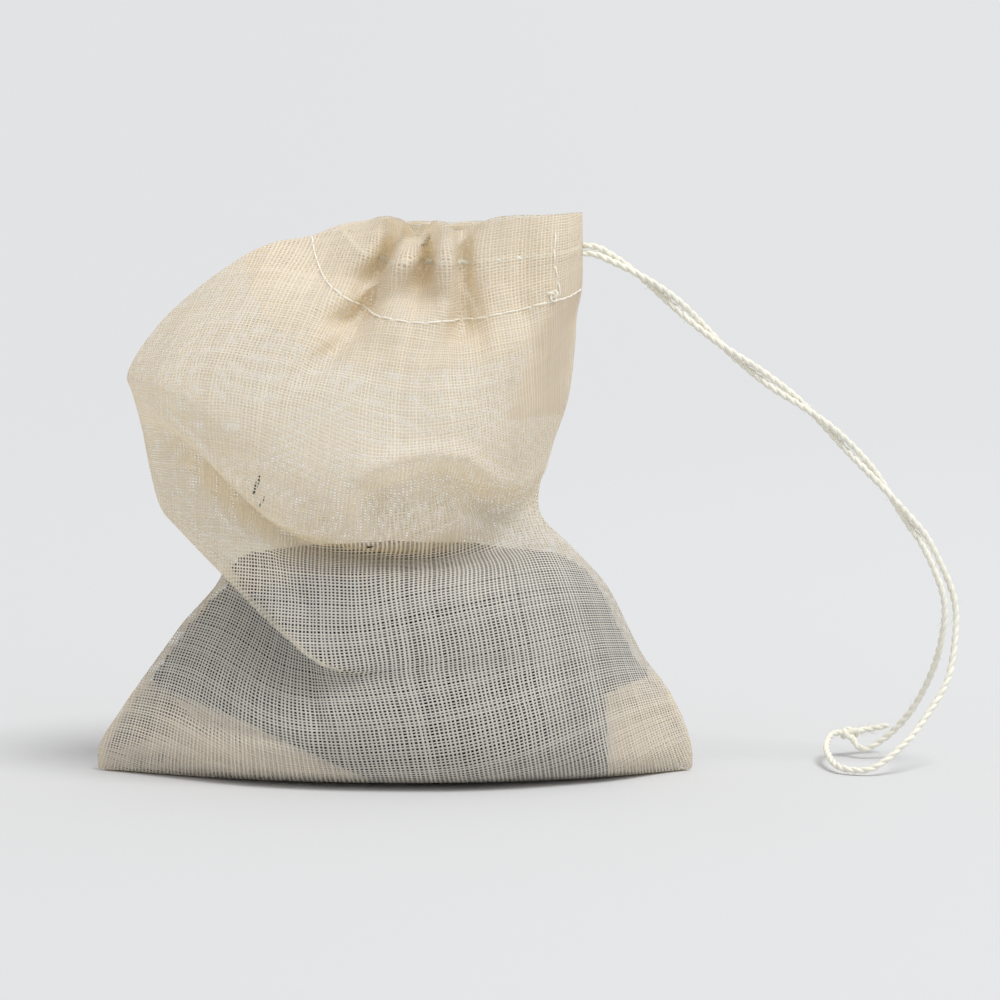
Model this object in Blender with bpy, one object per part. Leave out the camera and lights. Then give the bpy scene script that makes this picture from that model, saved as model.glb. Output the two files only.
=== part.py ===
"""Reusable cotton muslin tea bag with a drawstring, standing filled on its base.

Metres, +Z up, +X to the side the drawstring leaves, -Y towards the viewer. The bag stands on
z = 0 with its base centred on the origin.
"""

import math

import bmesh
import bpy
from mathutils import Vector
from mathutils.bvhtree import BVHTree

# Driving sizes
BASE_WIDTH = 0.0775  # corner to corner along the bottom seam
BASE_DEPTH = 0.030  # front to back, the measure of every fold's depth
STANDING_HEIGHT = 0.0735  # floor to the top of the gathered hem
HEM_DEPTH = 0.012  # its turned-in layer, from the top to the hem's seam
CLOTH_THICKNESS = 0.00045
STRAND_DIAMETER = 0.0010  # one strand of the drawstring
CASING_SLACK = 0.0006  # room left beside the drawstring between the hem's two layers
STRAND_PITCH = 0.0014  # centre to centre where two strands lie side by side
KNOT_DIAMETER = 0.0026
STITCH_DIAMETER = 0.0003
TEA_CLEARANCE = 0.0006  # from the tea to the cloth round it
SEAT_GAP = 0.0003  # between pieces that touch
TEA_HEIGHT = 0.0285
TEA_LENGTH = 0.066  # the pouch's corners hold none
TEA_LEAN = 0.002  # how far its top lies to the right of its base
TEA_FALL = 0.0045  # how much lower its surface is at the pouch's ends

# How finely the cloth is divided
FRONT_COLUMNS = 36
BACK_COLUMNS = 22

# The front panel's running lines, from the bottom seam to the top of the hem. Each point is
# (across, depth, height) in hundredths of half the base width, half the base depth and the
# standing height, and goes from the left seam to the right. back = (depth, rise, ripple) gives
# the back panel's line: how far it stands out behind, how far its middle lies above its ends,
# and the depth of its soft folds. steps is the number of rows up to the next line.
LINES = [
    dict(name="bottom_seam", steps=2, back=(0, 0, 0), front=[
        (-98, 0, 0), (-73, 0, 0), (-49, 0, 0), (-24, 0, 0), (1, 0, 0), (25, 0, 0), (50, 0, 0),
        (75, 0, 0), (98, 0, 0)]),
    dict(name="floor_edge", steps=2, back=(86, 0, 0), front=[
        (-99.8, 0, 0), (-75, -37, 0), (-50, -70, 0), (-24.5, -87, 0), (1, -91, 0), (25.5, -90, 0),
        (51, -77, 0), (75.5, -47, 0), (99.6, 0, 0)]),
    dict(name="base_roll", steps=2, back=(104, -2, 0), front=[
        (-100, 0, 3.9), (-74, -47, 3.8), (-49, -83, 2.6), (-24, -100, 2), (1, -107, 1.8),
        (25, -107, 2), (50, -90, 2.3), (75.5, -60, 2.6), (99.8, 0, 3.9)]),
    dict(name="pouch_low", steps=3, back=(123, -3, 0), front=[
        (-93, 0, 10.3), (-69, -53, 9.4), (-46, -93, 7), (-22, -113, 6), (2, -120, 5.7),
        (25, -120, 5.9), (50, -103, 6.2), (74, -67, 7), (97, 0, 8.9)]),
    dict(name="pouch_middle", steps=3, back=(126, -6, 4), front=[
        (-73, 0, 25.3), (-58, -53, 20.6), (-40, -93, 14.3), (-20, -117, 11.8), (2, -123, 11.6),
        (24, -123, 12), (49, -107, 12.3), (71.5, -70, 12.8), (91.6, 0, 14.6)]),
    dict(name="under_pleat", steps=1, back=(112, -4, 5), front=[
        (-58, 7, 36.4), (-44.6, -43, 31), (-32, -80, 24.6), (-18.5, -109, 20.6), (1, -117, 20),
        (22.5, -117, 20.7), (46, -100, 21), (67.4, -63, 20.8), (84, 7, 19.8)]),
    dict(name="pleat_edge", steps=3, back=(108, -3, 6), front=[
        (-77, -13, 46.1), (-58, -76, 37.8), (-39, -109, 28.9), (-23.5, -118, 22.5),
        (-2, -117, 23.8), (20.5, -116, 24.6), (44.3, -99, 25.1), (64.7, -61, 24.7),
        (80, 7, 23.7)]),
    dict(name="pouch_shoulder", steps=2, back=(100, -2, 6), front=[
        (-81.5, -13, 53.3), (-66, -70, 48.6), (-46, -99, 40.1), (-28.5, -108, 33.2),
        (-5.7, -107, 33.2), (18.5, -103, 33.6), (42, -84, 34), (59, -48, 33.6), (71, 7, 33)]),
    dict(name="pouch_brow", steps=1, back=(95, -2, 6), front=[
        (-83, -8, 57), (-68.5, -62, 54.2), (-48.5, -90, 45.6), (-30, -98, 39), (-7, -96, 37.6),
        (15, -88, 37.3), (36, -66, 38.2), (50, -34, 39.4), (59, 10, 40)]),
    dict(name="waist_crease", steps=2, back=(88, -3, 5), front=[
        (-84.5, 0, 60.6), (-69, -37, 59.5), (-50, -58, 50), (-32, -65, 43.2), (-8.4, -63, 40.8),
        (11.7, -53, 40), (30.2, -32, 41), (41, -10, 43), (49, 13, 45.5)]),
    dict(name="belly_low", steps=2, back=(92, -3, 5), front=[
        (-87, 0, 65.9), (-77, -53, 64.2), (-58, -92, 56.6), (-37, -108, 47.4), (-15, -104, 43.9),
        (8.4, -88, 43.8), (27, -54, 46.5), (39, -20, 49.5), (48.5, 18, 50.2)]),
    dict(name="belly_under", steps=2, back=(98, -3, 5), front=[
        (-88.4, 0, 68.3), (-76.5, -60, 67), (-56.5, -103, 60.2), (-34, -125, 52.8),
        (-11, -125, 50.3), (9, -112, 51.2), (23, -93, 52.6), (33, -72, 53.4), (44, -32, 56.5),
        (53, 17, 58)]),
    dict(name="belly_middle", steps=3, back=(104, -2, 6), front=[
        (-89.6, 0, 70.6), (-75.5, -67, 69.9), (-54.7, -110, 64.5), (-30, -132, 59.5),
        (-5.7, -133, 58.2), (15, -121, 58.7), (32.5, -95, 61), (46.6, -50, 63.9), (58, 13, 66)]),
    dict(name="belly_top", steps=3, back=(102, 0, 7), front=[
        (-77, 0, 80.9), (-65.4, -67, 75.8), (-47, -107, 70.4), (-23.5, -125, 67.2),
        (-1.7, -122, 66.1), (17.4, -114, 66.9), (33.5, -92, 68.9), (48.6, -55, 71.9),
        (60.4, 13, 75.8)]),
    dict(name="gather_fan", steps=2, back=(86, -3, 9), front=[
        (-44.6, 0, 93.6), (-41.3, -50, 87.4), (-31, -84, 81.4), (-22.5, -86, 78.8),
        (-17.5, -76, 77.4), (-12, -91, 76.6), (-4, -104, 75.9), (5, -106, 75.5),
        (13.5, -102, 75.4), (21, -87, 75.9), (27, -84, 76.4), (33.5, -86, 76.9), (42, -75, 77.8),
        (52, -54, 79.2), (61, 7, 81.3)]),
    dict(name="hem_seam", steps=3, back=(74, -6, 8), front=[
        (-27.8, 13, 95.4), (-26, -20, 92.1), (-22, -50, 88.2), (-17, -66, 86.2),
        (-12.5, -60, 84.7), (-9.6, -39, 83.7), (-7, -62, 83), (-3, -82, 82.4), (3.4, -90, 82),
        (11, -92, 81.8), (17, -86, 82), (20.6, -67, 81.8), (23.2, -54, 81.9), (27.5, -62, 82),
        (32, -69, 82.6), (38, -65, 83.2), (42.6, -59, 83.6), (47.6, -61, 84.4), (52.7, -55, 84.9),
        (57.7, -33, 85.3), (62.7, 7, 86.1)]),
    dict(name="hem_middle", steps=3, back=(70, -4, 8), front=[
        (-18.1, 20, 97.2), (-15.6, -14, 96), (-12.4, -40, 94.4), (-8.6, -53, 93),
        (-5.6, -46, 92.2), (-3.6, -26, 91.9), (-2, -50, 91.9), (1, -72, 92.1), (4.6, -77, 92.2),
        (7.8, -68, 92.1), (10, -46, 91.8), (11.5, -35, 91.6), (13, -56, 91.8), (15.4, -84, 92.1),
        (18.4, -86, 92.1), (21, -62, 91.8), (23, -46, 91.7), (26, -55, 91.9), (30, -61, 92.1),
        (35, -58, 92.3), (42, -52, 92.6), (48.6, -53, 92.9), (55, -46, 93.1), (60, -26, 93.2),
        (62.9, 7, 93.2)]),
    dict(name="hem_top", steps=0, back=(66, -2, 7), front=[
        (-8, 30, 98), (-6.6, -4, 98.8), (-4, -32, 99.5), (-0.5, -52, 99.8), (3.6, -60, 99.2),
        (5.8, -44, 97.6), (8, -22, 96), (10.2, -36, 96.6), (12.2, -62, 98.6), (14.6, -76, 99.6),
        (18, -70, 98.8), (20.6, -52, 97.4), (23, -44, 97.6), (26.4, -50, 98.4), (30, -56, 99.1),
        (35, -55, 99.8), (42, -49, 100), (48.6, -48, 100), (54.7, -40, 100), (59.4, -23, 100),
        (62.7, 7, 99.6)]),
]

# The turned-in layer of the hem, from its top down: (share of the hem's depth, share of its
# width that it spreads to the left). The last ones are the allowance under the hem's seam.
TURN_IN = [(0.06, 0), (0.3, 0.01), (0.55, 0.03), (0.8, 0.06), (1.05, 0.1), (1.35, 0.16), (1.6, 0.22)]

# The drawstring's route outside the hem, as hundredths in the same three measures. The pair
# lies loosely twisted up to the parting, and each strand then falls to the floor by itself.
PAIR_ROUTE = [
    (63.1, 6.7, 91), (66.5, 7, 90.9), (72, 7, 89.6), (82.2, 8, 86.3), (92.2, 9, 82.2),
    (102.3, 10, 77.4), (110.7, 11, 73.4), (119.1, 12, 70), (127.5, 13, 66.7), (135.9, 14, 63.5),
    (144.2, 15, 59.8), (152.6, 16, 55.4), (161, 17, 50.6), (169.4, 18, 44.9), (178, 19, 38.9)]
LEFT_FALL = [
    (184.9, 17, 30.3), (184.5, 24, 23), (181.2, 38, 15.7), (174.4, 52, 8.3), (166, 60, 3.4),
    (159, 62, 1.4)]
RIGHT_FALL = [
    (188.5, 24, 30.2), (188.9, 20, 23), (186.2, 9, 15.9), (179.5, -4, 10.2), (171.1, -20, 5.2),
    (159.4, -30, 0.95), (150, -20, 0.85), (146.1, 16, 2.2), (146.6, 46, 3.4), (149.4, 68, 4.2)]
KNOT_ROUTE = [(154.6, 76, 3.9), (157.5, 82, 4.0), (162, 88, 4.2), (167.5, 92, 4.6)]

HEM_ROWS = 6  # rows from the hem's seam to its top
EXIT_ROWS = (2, 4)  # the rows of the hem that the drawstring's opening lies between
HEM_REACH = 0.00015  # a turned-in point's step towards the folds

PAIR_TURNS = 2  # times the strands go round each other before they part
POINTS_APART = 2.2  # diameters between a strand's points
KNOT_TAIL_SHARE = 0.5  # the tail's width, as a share of the knot's

# The tea's level outlines: (share of its height, share of the room at that level)
TEA_LEVELS = [(0, 0.97), (0.1, 1), (0.25, 1), (0.42, 1), (0.6, 1), (0.76, 0.98), (0.9, 0.86), (1, 0.55)]
TEA_COLUMNS = 44
TEA_STEP = TEA_HEIGHT / 12  # above and below each level, the cloth is measured there too
TEA_SQUARENESS = 0.6  # crowds the outline's points towards its two ends

HALF_CLOTH = CLOTH_THICKNESS / 2
STRAND_RADIUS = STRAND_DIAMETER / 2
CASING_GAP = CLOTH_THICKNESS + STRAND_DIAMETER + 2 * SEAT_GAP + CASING_SLACK
COLUMNS = FRONT_COLUMNS + BACK_COLUMNS


def clear_scene():
    for obj in list(bpy.data.objects):
        bpy.data.objects.remove(obj, do_unlink=True)


def place(share):
    """A point in hundredths of the bag's own measures, in metres."""
    across, depth, height = share
    return Vector((
        across / 100 * BASE_WIDTH / 2,
        depth / 100 * BASE_DEPTH / 2,
        HALF_CLOTH + height / 100 * (STANDING_HEIGHT - CLOTH_THICKNESS),
    ))


def material(name, colour, roughness):
    made = bpy.data.materials.new(name)
    made.use_nodes = True
    shader = made.node_tree.nodes["Principled BSDF"]
    shader.inputs["Base Color"].default_value = (*colour, 1.0)
    shader.inputs["Roughness"].default_value = roughness
    shader.inputs["Metallic"].default_value = 0.0
    return made


def mesh_object(name, bm, mat):
    mesh = bpy.data.meshes.new(name)
    bm.to_mesh(mesh)
    bm.free()
    mesh.materials.append(mat)
    mesh.shade_smooth()
    obj = bpy.data.objects.new(name, mesh)
    bpy.context.collection.objects.link(obj)
    return obj


def cubic(before, start, end, after, share):
    """A curve from start to end whose slopes allow for uneven spacing."""
    times = [0.0]
    for a, b in ((before, start), (start, end), (end, after)):
        times.append(times[-1] + max(math.sqrt((b - a).length), 1e-6))
    t0, t1, t2, t3 = times
    t = t1 + (t2 - t1) * share
    a1 = before * ((t1 - t) / (t1 - t0)) + start * ((t - t0) / (t1 - t0))
    a2 = start * ((t2 - t) / (t2 - t1)) + end * ((t - t1) / (t2 - t1))
    a3 = end * ((t3 - t) / (t3 - t2)) + after * ((t - t2) / (t3 - t2))
    b1 = a1 * ((t2 - t) / (t2 - t0)) + a2 * ((t - t0) / (t2 - t0))
    b2 = a2 * ((t3 - t) / (t3 - t1)) + a3 * ((t - t1) / (t3 - t1))
    return b1 * ((t2 - t) / (t2 - t1)) + b2 * ((t - t1) / (t2 - t1))


def smooth_through(points, per_span):
    """The points of a smooth open curve through the given ones."""
    ends = [points[0] * 2 - points[1]] + list(points) + [points[-1] * 2 - points[-2]]
    curve = []
    for i in range(1, len(ends) - 2):
        for k in range(per_span):
            curve.append(cubic(ends[i - 1], ends[i], ends[i + 1], ends[i + 2], k / per_span))
    curve.append(points[-1].copy())
    return curve


def evenly(curve, spans):
    """The curve cut into so many equal lengths."""
    lengths = [0.0]
    for a, b in zip(curve, curve[1:]):
        lengths.append(lengths[-1] + (b - a).length)
    result, i = [], 0
    for k in range(spans + 1):
        target = lengths[-1] * k / spans
        while i < len(curve) - 2 and lengths[i + 1] < target:
            i += 1
        part = (target - lengths[i]) / max(lengths[i + 1] - lengths[i], 1e-9)
        result.append(curve[i].lerp(curve[i + 1], min(max(part, 0.0), 1.0)))
    return result


def back_line(right, left, depth, rise, ripple):
    """The back panel's points, from the right seam round to the left."""
    points = []
    for k in range(17):
        t = k / 16
        bulge = math.sin(math.pi * t)
        wave = math.sin(t * math.pi * 9) * bulge * ripple
        points.append(right.lerp(left, t) + Vector((
            0,
            (depth * bulge ** 0.8 + wave) / 100 * BASE_DEPTH / 2,
            rise / 100 * STANDING_HEIGHT * bulge,
        )))
    return points


def line_round(line):
    """One running line all the way round, starting at the left seam."""
    front = [place(point) for point in line["front"]]
    back = back_line(front[-1], front[0], *line["back"])
    return (evenly(smooth_through(front, 6), FRONT_COLUMNS)[:-1]
            + evenly(smooth_through(back, 4), BACK_COLUMNS)[:-1])


def outer_rows():
    """The cloth seen from outside, row by row from the bottom seam to the hem's top."""
    rounds = [line_round(line) for line in LINES]
    rows = [rounds[0]]
    for i, line in enumerate(LINES[:-1]):
        for k in range(1, line["steps"] + 1):
            share = k / line["steps"]
            row = []
            for column in range(COLUMNS):
                here, there = rounds[i][column], rounds[i + 1][column]
                if i == 0:
                    point = here.lerp(there, share)
                else:
                    after = rounds[i + 2][column] if i + 2 < len(rounds) else there * 2 - here
                    point = cubic(rounds[i - 1][column], here, there, after, share)
                row.append(Vector((point.x, point.y, max(point.z, HALF_CLOTH))))
            rows.append(row)
    return rows


def inward_ways(row):
    """At each point of a row, the level direction into the bag."""
    ways = []
    for i in range(len(row)):
        along = row[(i + 1) % len(row)] - row[i - 1]
        ways.append(Vector((-along.y, along.x, 0.0)).normalized())
    return ways


def inset(row, distance):
    """The row moved inwards, level, by a distance."""
    return [point + way * distance for point, way in zip(row, inward_ways(row))]


def reach_out(row, tree):
    """The row let out towards the folds round it, as near as the drawstring's room allows."""
    ways = [-way for way in inward_ways(row)]
    reaches = []
    for point, way in zip(row, ways):
        reach = 0.0
        while reach < CASING_GAP and tree.find_nearest(
                point + way * (reach + HEM_REACH))[3] >= CASING_GAP:
            reach += HEM_REACH
        reaches.append(reach)
    for _ in range(3):
        reaches = [
            min(reach, (reaches[i - 1] + reach * 2 + reaches[(i + 1) % len(row)]) / 4)
            for i, reach in enumerate(reaches)]
    return [point + way * reach for point, way, reach in zip(row, ways, reaches)]


def hem_rows(rows, tree):
    """The hem's turned-in layer: an oval tube in the mouth, let out into the folds round it."""
    hem = rows[-1 - HEM_ROWS:]
    top = hem[-1]
    front = max(point.y for row in hem for point in row[6:FRONT_COLUMNS - 5])
    back = min(point.y for row in hem for point in row[FRONT_COLUMNS + 6:COLUMNS - 5])
    near, far = front + CASING_GAP, back - CASING_GAP
    left, right = top[0].x + CASING_GAP, top[FRONT_COLUMNS].x - 1.4 * CASING_GAP
    width = top[FRONT_COLUMNS].x - top[0].x
    turns = []
    for column, point in enumerate(top):
        across = min(max((point.x - top[0].x) / width, 0.0), 1.0)
        turn = math.acos(2 * across - 1)
        turns.append(-turn if column <= FRONT_COLUMNS else turn)
    inner = []
    for share, flare in TURN_IN:
        west = left - flare * (right - left)
        height = STANDING_HEIGHT - share * HEM_DEPTH
        row = []
        for column in range(COLUMNS):
            level = min(height, top[column].z) if share < 0.3 else height
            row.append(Vector((
                (west + right) / 2 + (right - west) / 2 * math.cos(turns[column]),
                (near + far) / 2 + (far - near) / 2 * math.sin(turns[column]),
                level,
            )))
        inner.append(reach_out(row, tree) if share > 0.5 else row)
    return inner


def exit_column(column):
    return abs(column - FRONT_COLUMNS + 0.5) < 1


def bag_mesh(rows, hem):
    """The cloth as one sheet, closed at the bottom seam and with the drawstring's exit."""
    bm = bmesh.new()
    all_rows = rows + hem
    grid = []
    for index, row in enumerate(all_rows):
        verts = []
        for column in range(COLUMNS):
            mirrored = None
            if index == 0 and column > FRONT_COLUMNS:
                share = (COLUMNS - column) / BACK_COLUMNS * FRONT_COLUMNS
                mirrored = verts[round(share)]
            verts.append(mirrored or bm.verts.new(row[column]))
        grid.append(verts)
    seam_row = len(rows) - 1 - HEM_ROWS
    for index in range(len(grid) - 1):
        low, high = grid[index], grid[index + 1]
        for column in range(COLUMNS):
            after = (column + 1) % COLUMNS
            if index - seam_row in range(*EXIT_ROWS) and exit_column(column):
                continue
            corners = []
            for vert in (low[column], low[after], high[after], high[column]):
                if vert not in corners:
                    corners.append(vert)
            if len(corners) > 2:
                bm.faces.new(corners)
    loose = [vert for vert in bm.verts if not vert.link_faces]
    bmesh.ops.delete(bm, geom=loose, context="VERTS")
    return bm


def cloth_tree(rows):
    """The outer cloth's middle surface, for measuring the room inside it."""
    bm = bmesh.new()
    grid = [[bm.verts.new(point) for point in row] for row in rows]
    for low, high in zip(grid, grid[1:]):
        for column in range(COLUMNS):
            after = (column + 1) % COLUMNS
            bm.faces.new((low[column], low[after], high[after], high[column]))
    tree = BVHTree.FromBMesh(bm)
    bm.free()
    return tree


def clear_of(tree, point, centre, room):
    """The point drawn in towards the centre until it has its room from the cloth."""
    for _ in range(60):
        if tree.find_nearest(point)[3] >= room:
            break
        point = point.lerp(centre, 0.03)
    return point


def tea_mesh(tree):
    """The tea that fills the pouch: level outlines just inside the cloth, under a low mound."""
    room = HALF_CLOTH + TEA_CLEARANCE
    floor = CLOTH_THICKNESS + SEAT_GAP
    bm = bmesh.new()
    rings = []
    for share, spread in TEA_LEVELS:
        height = floor + share * (TEA_HEIGHT - floor)
        centre = Vector((TEA_LEAN * share, 0.0, height))
        ways, reaches, ring = [], [], []
        for k in range(TEA_COLUMNS):
            turn = 2 * math.pi * k / TEA_COLUMNS
            way = Vector((math.cos(turn), math.sin(turn) * TEA_SQUARENESS, 0.0)).normalized()
            reach = TEA_LENGTH / 2 / max(abs(way.x), 0.01) + room
            for lift in (-TEA_STEP, 0, TEA_STEP):
                hit = tree.ray_cast(centre + Vector((0, 0, lift)), way)[3]
                reach = min(reach, hit or reach)
            ways.append(way)
            reaches.append(reach - room)
        for k, way in enumerate(ways):
            beside = (reaches[k - 1] + reaches[(k + 1) % TEA_COLUMNS]) / 2
            reach = min(reaches[k], beside) * spread
            point = clear_of(tree, centre + way * reach, centre, room)
            fall = TEA_FALL * share * (2 * (point.x - centre.x) / TEA_LENGTH) ** 2
            ring.append(bm.verts.new((point.x, point.y, height - fall)))
        rings.append(ring)
    for low, high in zip(rings, rings[1:]):
        for k in range(TEA_COLUMNS):
            after = (k + 1) % TEA_COLUMNS
            bm.faces.new((low[k], low[after], high[after], high[k]))
    bm.faces.new(reversed(rings[0]))
    bm.faces.new(rings[-1])
    return bm


def cord_object(name, points, diameter, mat, radii=None, closed=False):
    """A round strand through the points, with filled ends."""
    curve = bpy.data.curves.new(name, "CURVE")
    curve.dimensions = "3D"
    curve.bevel_depth = diameter / 2
    curve.bevel_resolution = 2
    curve.use_fill_caps = True
    curve.twist_mode = "MINIMUM"
    spline = curve.splines.new("POLY")
    spline.points.add(len(points) - 1)
    for index, point in enumerate(points):
        spline.points[index].co = (*point, 1.0)
        spline.points[index].radius = radii[index] if radii else 1.0
    spline.use_cyclic_u = closed
    curve.materials.append(mat)
    obj = bpy.data.objects.new(name, curve)
    bpy.context.collection.objects.link(obj)
    return obj


def spans_for(curve, diameter):
    length = sum((b - a).length for a, b in zip(curve, curve[1:]))
    return max(4, round(length / (diameter * POINTS_APART)))


def strand_points(route):
    curve = smooth_through(route, 8)
    return evenly(curve, spans_for(curve, STRAND_DIAMETER))


def exit_point(rows):
    """The middle of the opening that the drawstring leaves by."""
    low, high = (len(rows) - 1 - HEM_ROWS + row for row in EXIT_ROWS)
    return (rows[low][FRONT_COLUMNS] + rows[high][FRONT_COLUMNS]) / 2


def settled(points, trees, room, held):
    """A route eased clear of the cloth near it, with so many points held at each end."""
    for turn in range(30):
        eased = [point.copy() for point in points]
        for i in range(held, len(points) - held):
            after = points[(i + 1) % len(points)]
            point = (points[i - 1] + points[i] * 2 + after) / 4 if turn < 25 else points[i]
            for tree in trees:
                near, _, _, distance = tree.find_nearest(point)
                if distance < room:
                    point = point + (point - near).normalized() * (room - distance)
            eased[i] = point
        points = eased
    return points


def casing_points(rows, hem, tree):
    """The drawstring's run round the hem, between its two layers."""
    side = HALF_CLOTH + SEAT_GAP + CASING_SLACK / 2 + STRAND_RADIUS
    middle = [(a + b) / 2 for a, b in zip(hem[1], hem[2])]
    around = middle[FRONT_COLUMNS:] + middle[:FRONT_COLUMNS + 1]
    ring = inset(evenly(around, 44)[:-1], -side)
    leave = exit_point(rows)
    route = []
    for index in range(len(ring) - 4, 3, -1):
        lift = (index / len(ring) - 0.5) * STRAND_PITCH
        route.append(Vector((ring[index].x, ring[index].y, leave.z + lift)))
    ends = []
    for side in (0.5, -0.5):
        end = leave + Vector((-SEAT_GAP, 0, side * STRAND_PITCH))
        ends.append([end, end - Vector((STRAND_DIAMETER, 0, 0))])
    trees = (tree, cloth_tree(hem))
    points = strand_points(ends[0] + route + ends[1][::-1])
    return settled(points, trees, HALF_CLOTH + SEAT_GAP + STRAND_RADIUS, 2)


def pair_points(rows):
    """Both strands from the hem to where they part, one loosely round the other."""
    leave = exit_point(rows)
    start = place(PAIR_ROUTE[0])
    route = [place(point) - (start - leave) for point in PAIR_ROUTE]
    middle = evenly(smooth_through(route, 8), 34)
    upper, lower = [], []
    for index, point in enumerate(middle):
        along = (middle[min(index + 1, 34)] - middle[max(index - 1, 0)]).normalized()
        deep = Vector((0, 1, 0))
        up = along.cross(deep).normalized()
        turn = 2 * math.pi * PAIR_TURNS * index / 34
        aside = (up * math.cos(turn) + deep * math.sin(turn)) * STRAND_PITCH / 2
        upper.append(point + aside)
        lower.append(point - aside)
    return upper, lower


def strand_to_knot(pair, fall, knot):
    """One strand's whole free length, stopping short of the knot."""
    route = pair + [place(point) for point in fall] + [knot]
    curve = smooth_through(route, 8)
    reach = KNOT_DIAMETER / 2 + SEAT_GAP
    kept = [point for point in curve if (point - knot).length > reach]
    return evenly(kept, spans_for(kept, STRAND_DIAMETER))


def knot_shape():
    """The knot's line and its swelling: round at the knot, narrow along its tail."""
    route = [place(point) for point in KNOT_ROUTE]
    radius = KNOT_DIAMETER / 2
    before = route[0] - (route[1] - route[0]).normalized() * radius * 0.9
    points = evenly(smooth_through([before] + route, 8), 16)
    radii = []
    for point in points:
        far = (point - route[0]).length / radius
        radii.append(max(math.sqrt(max(1 - far * far, 0.0)), KNOT_TAIL_SHARE))
    return points, radii


def stitch_points(rows, tree):
    """The thread of the hem's seam, on the outside of the cloth."""
    index = len(rows) - 1 - HEM_ROWS
    row = rows[index]
    away = CLOTH_THICKNESS * 0.8 + SEAT_GAP + STITCH_DIAMETER / 2
    points = []
    for i, point in enumerate(row):
        along = row[(i + 1) % COLUMNS] - row[i - 1]
        upwards = rows[index + 1][i] - rows[index - 1][i]
        points.append(point + along.cross(upwards).normalized() * away)
    return settled(evenly(points + points[:1], 80)[:-1], (tree,), away, 0)


def main():
    clear_scene()
    rows = outer_rows()
    tree = cloth_tree(rows[LINES[0]["steps"]:])
    hem = hem_rows(rows, tree)
    cloth = material("unbleached_cotton_muslin", (0.80, 0.76, 0.66), 0.9)
    tea = material("dried_tea_leaves", (0.035, 0.025, 0.018), 0.85)
    string = material("ivory_cotton_string", (0.86, 0.83, 0.74), 0.85)
    thread = material("ivory_sewing_thread", (0.88, 0.85, 0.76), 0.7)

    bag = mesh_object("muslin_bag", bag_mesh(rows, hem), cloth)
    thicken = bag.modifiers.new("cloth_thickness", "SOLIDIFY")
    thicken.thickness = CLOTH_THICKNESS
    thicken.offset = 0.0
    thicken.use_even_offset = False

    mesh_object("tea_leaves", tea_mesh(tree), tea)
    cord_object("drawstring_casing_run", casing_points(rows, hem, tree), STRAND_DIAMETER, string)
    upper, lower = pair_points(rows)
    knot = place(KNOT_ROUTE[0])
    cord_object("drawstring_right_strand", strand_to_knot(upper, RIGHT_FALL, knot),
                STRAND_DIAMETER, string)
    cord_object("drawstring_left_strand", strand_to_knot(lower, LEFT_FALL, knot),
                STRAND_DIAMETER, string)
    points, radii = knot_shape()
    cord_object("drawstring_knot", points, KNOT_DIAMETER, string, radii)
    cord_object("hem_stitch_thread", stitch_points(rows, tree), STITCH_DIAMETER, thread, closed=True)


main()
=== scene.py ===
"""A filled drawstring tea bag in open cotton muslin, dressed on its own solid model.

Metres, +Z up, +X to the side the drawstring leaves, -Y towards the viewer.
"""

import math
import random

import bmesh
import bpy
import numpy as np
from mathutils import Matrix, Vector, noise
from mathutils.bvhtree import BVHTree


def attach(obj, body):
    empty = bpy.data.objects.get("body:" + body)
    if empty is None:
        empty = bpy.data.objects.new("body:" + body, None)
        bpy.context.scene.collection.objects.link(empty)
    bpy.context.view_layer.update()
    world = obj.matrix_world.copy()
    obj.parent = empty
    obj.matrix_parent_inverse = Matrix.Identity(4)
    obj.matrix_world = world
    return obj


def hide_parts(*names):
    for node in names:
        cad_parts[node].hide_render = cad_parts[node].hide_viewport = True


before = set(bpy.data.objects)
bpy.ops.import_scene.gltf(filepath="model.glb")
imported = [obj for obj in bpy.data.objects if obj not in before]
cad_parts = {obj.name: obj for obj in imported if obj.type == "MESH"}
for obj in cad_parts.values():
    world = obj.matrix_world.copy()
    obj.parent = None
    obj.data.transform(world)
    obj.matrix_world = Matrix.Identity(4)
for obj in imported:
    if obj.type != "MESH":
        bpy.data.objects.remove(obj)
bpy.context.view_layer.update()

bl_info = {
    "name": "Muslin tea bag",
    "version": (1, 0, 0),
    "blender": (4, 5, 0),
    "location": "3D View > Sidebar > Tea bag",
    "description": "Cotton muslin drawstring tea bag, filled and standing on its base",
    "category": "Add Mesh",
}

# The bag's own measures. Points below are hundredths of half the width, half the depth and the
# standing height.
BASE_WIDTH = 0.0775
BASE_DEPTH = 0.030
STANDING_HEIGHT = 0.0735
CLOTH_THICKNESS = 0.00045
VIEW_TILT = math.radians(7)  # the front is looked at from so far above the level
VIEW_DISTANCE = 0.8
VIEW_WIDTH = 0.13  # seen across at the bag
VIEW_CENTRE = (0.01365, 0.0356)  # across and up
FILM_WIDTH = 36
FLOOR_SIZE = 5

# Daylight from all round and a broad window over the viewer's right shoulder
DAYLIGHT_STRENGTH = 0.73
WINDOW_STRENGTH = 1.85
WINDOW_SPREAD = math.radians(24)
WINDOW_DIRECTION = (0.32, -0.32, 0.89)

# Painted shade on the table: its colour grows darker towards the back and the left: from where to where,
# and how much
FAR_SIDE = (0.12, 0.5)
FAR_PAINTED_SHADE = 0.965
LEFT_SIDE = (0.12, -0.1)
LEFT_PAINTED_SHADE = 0.95
LEFT_PAINTED_SHADE_SHARE = 0.8

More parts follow.
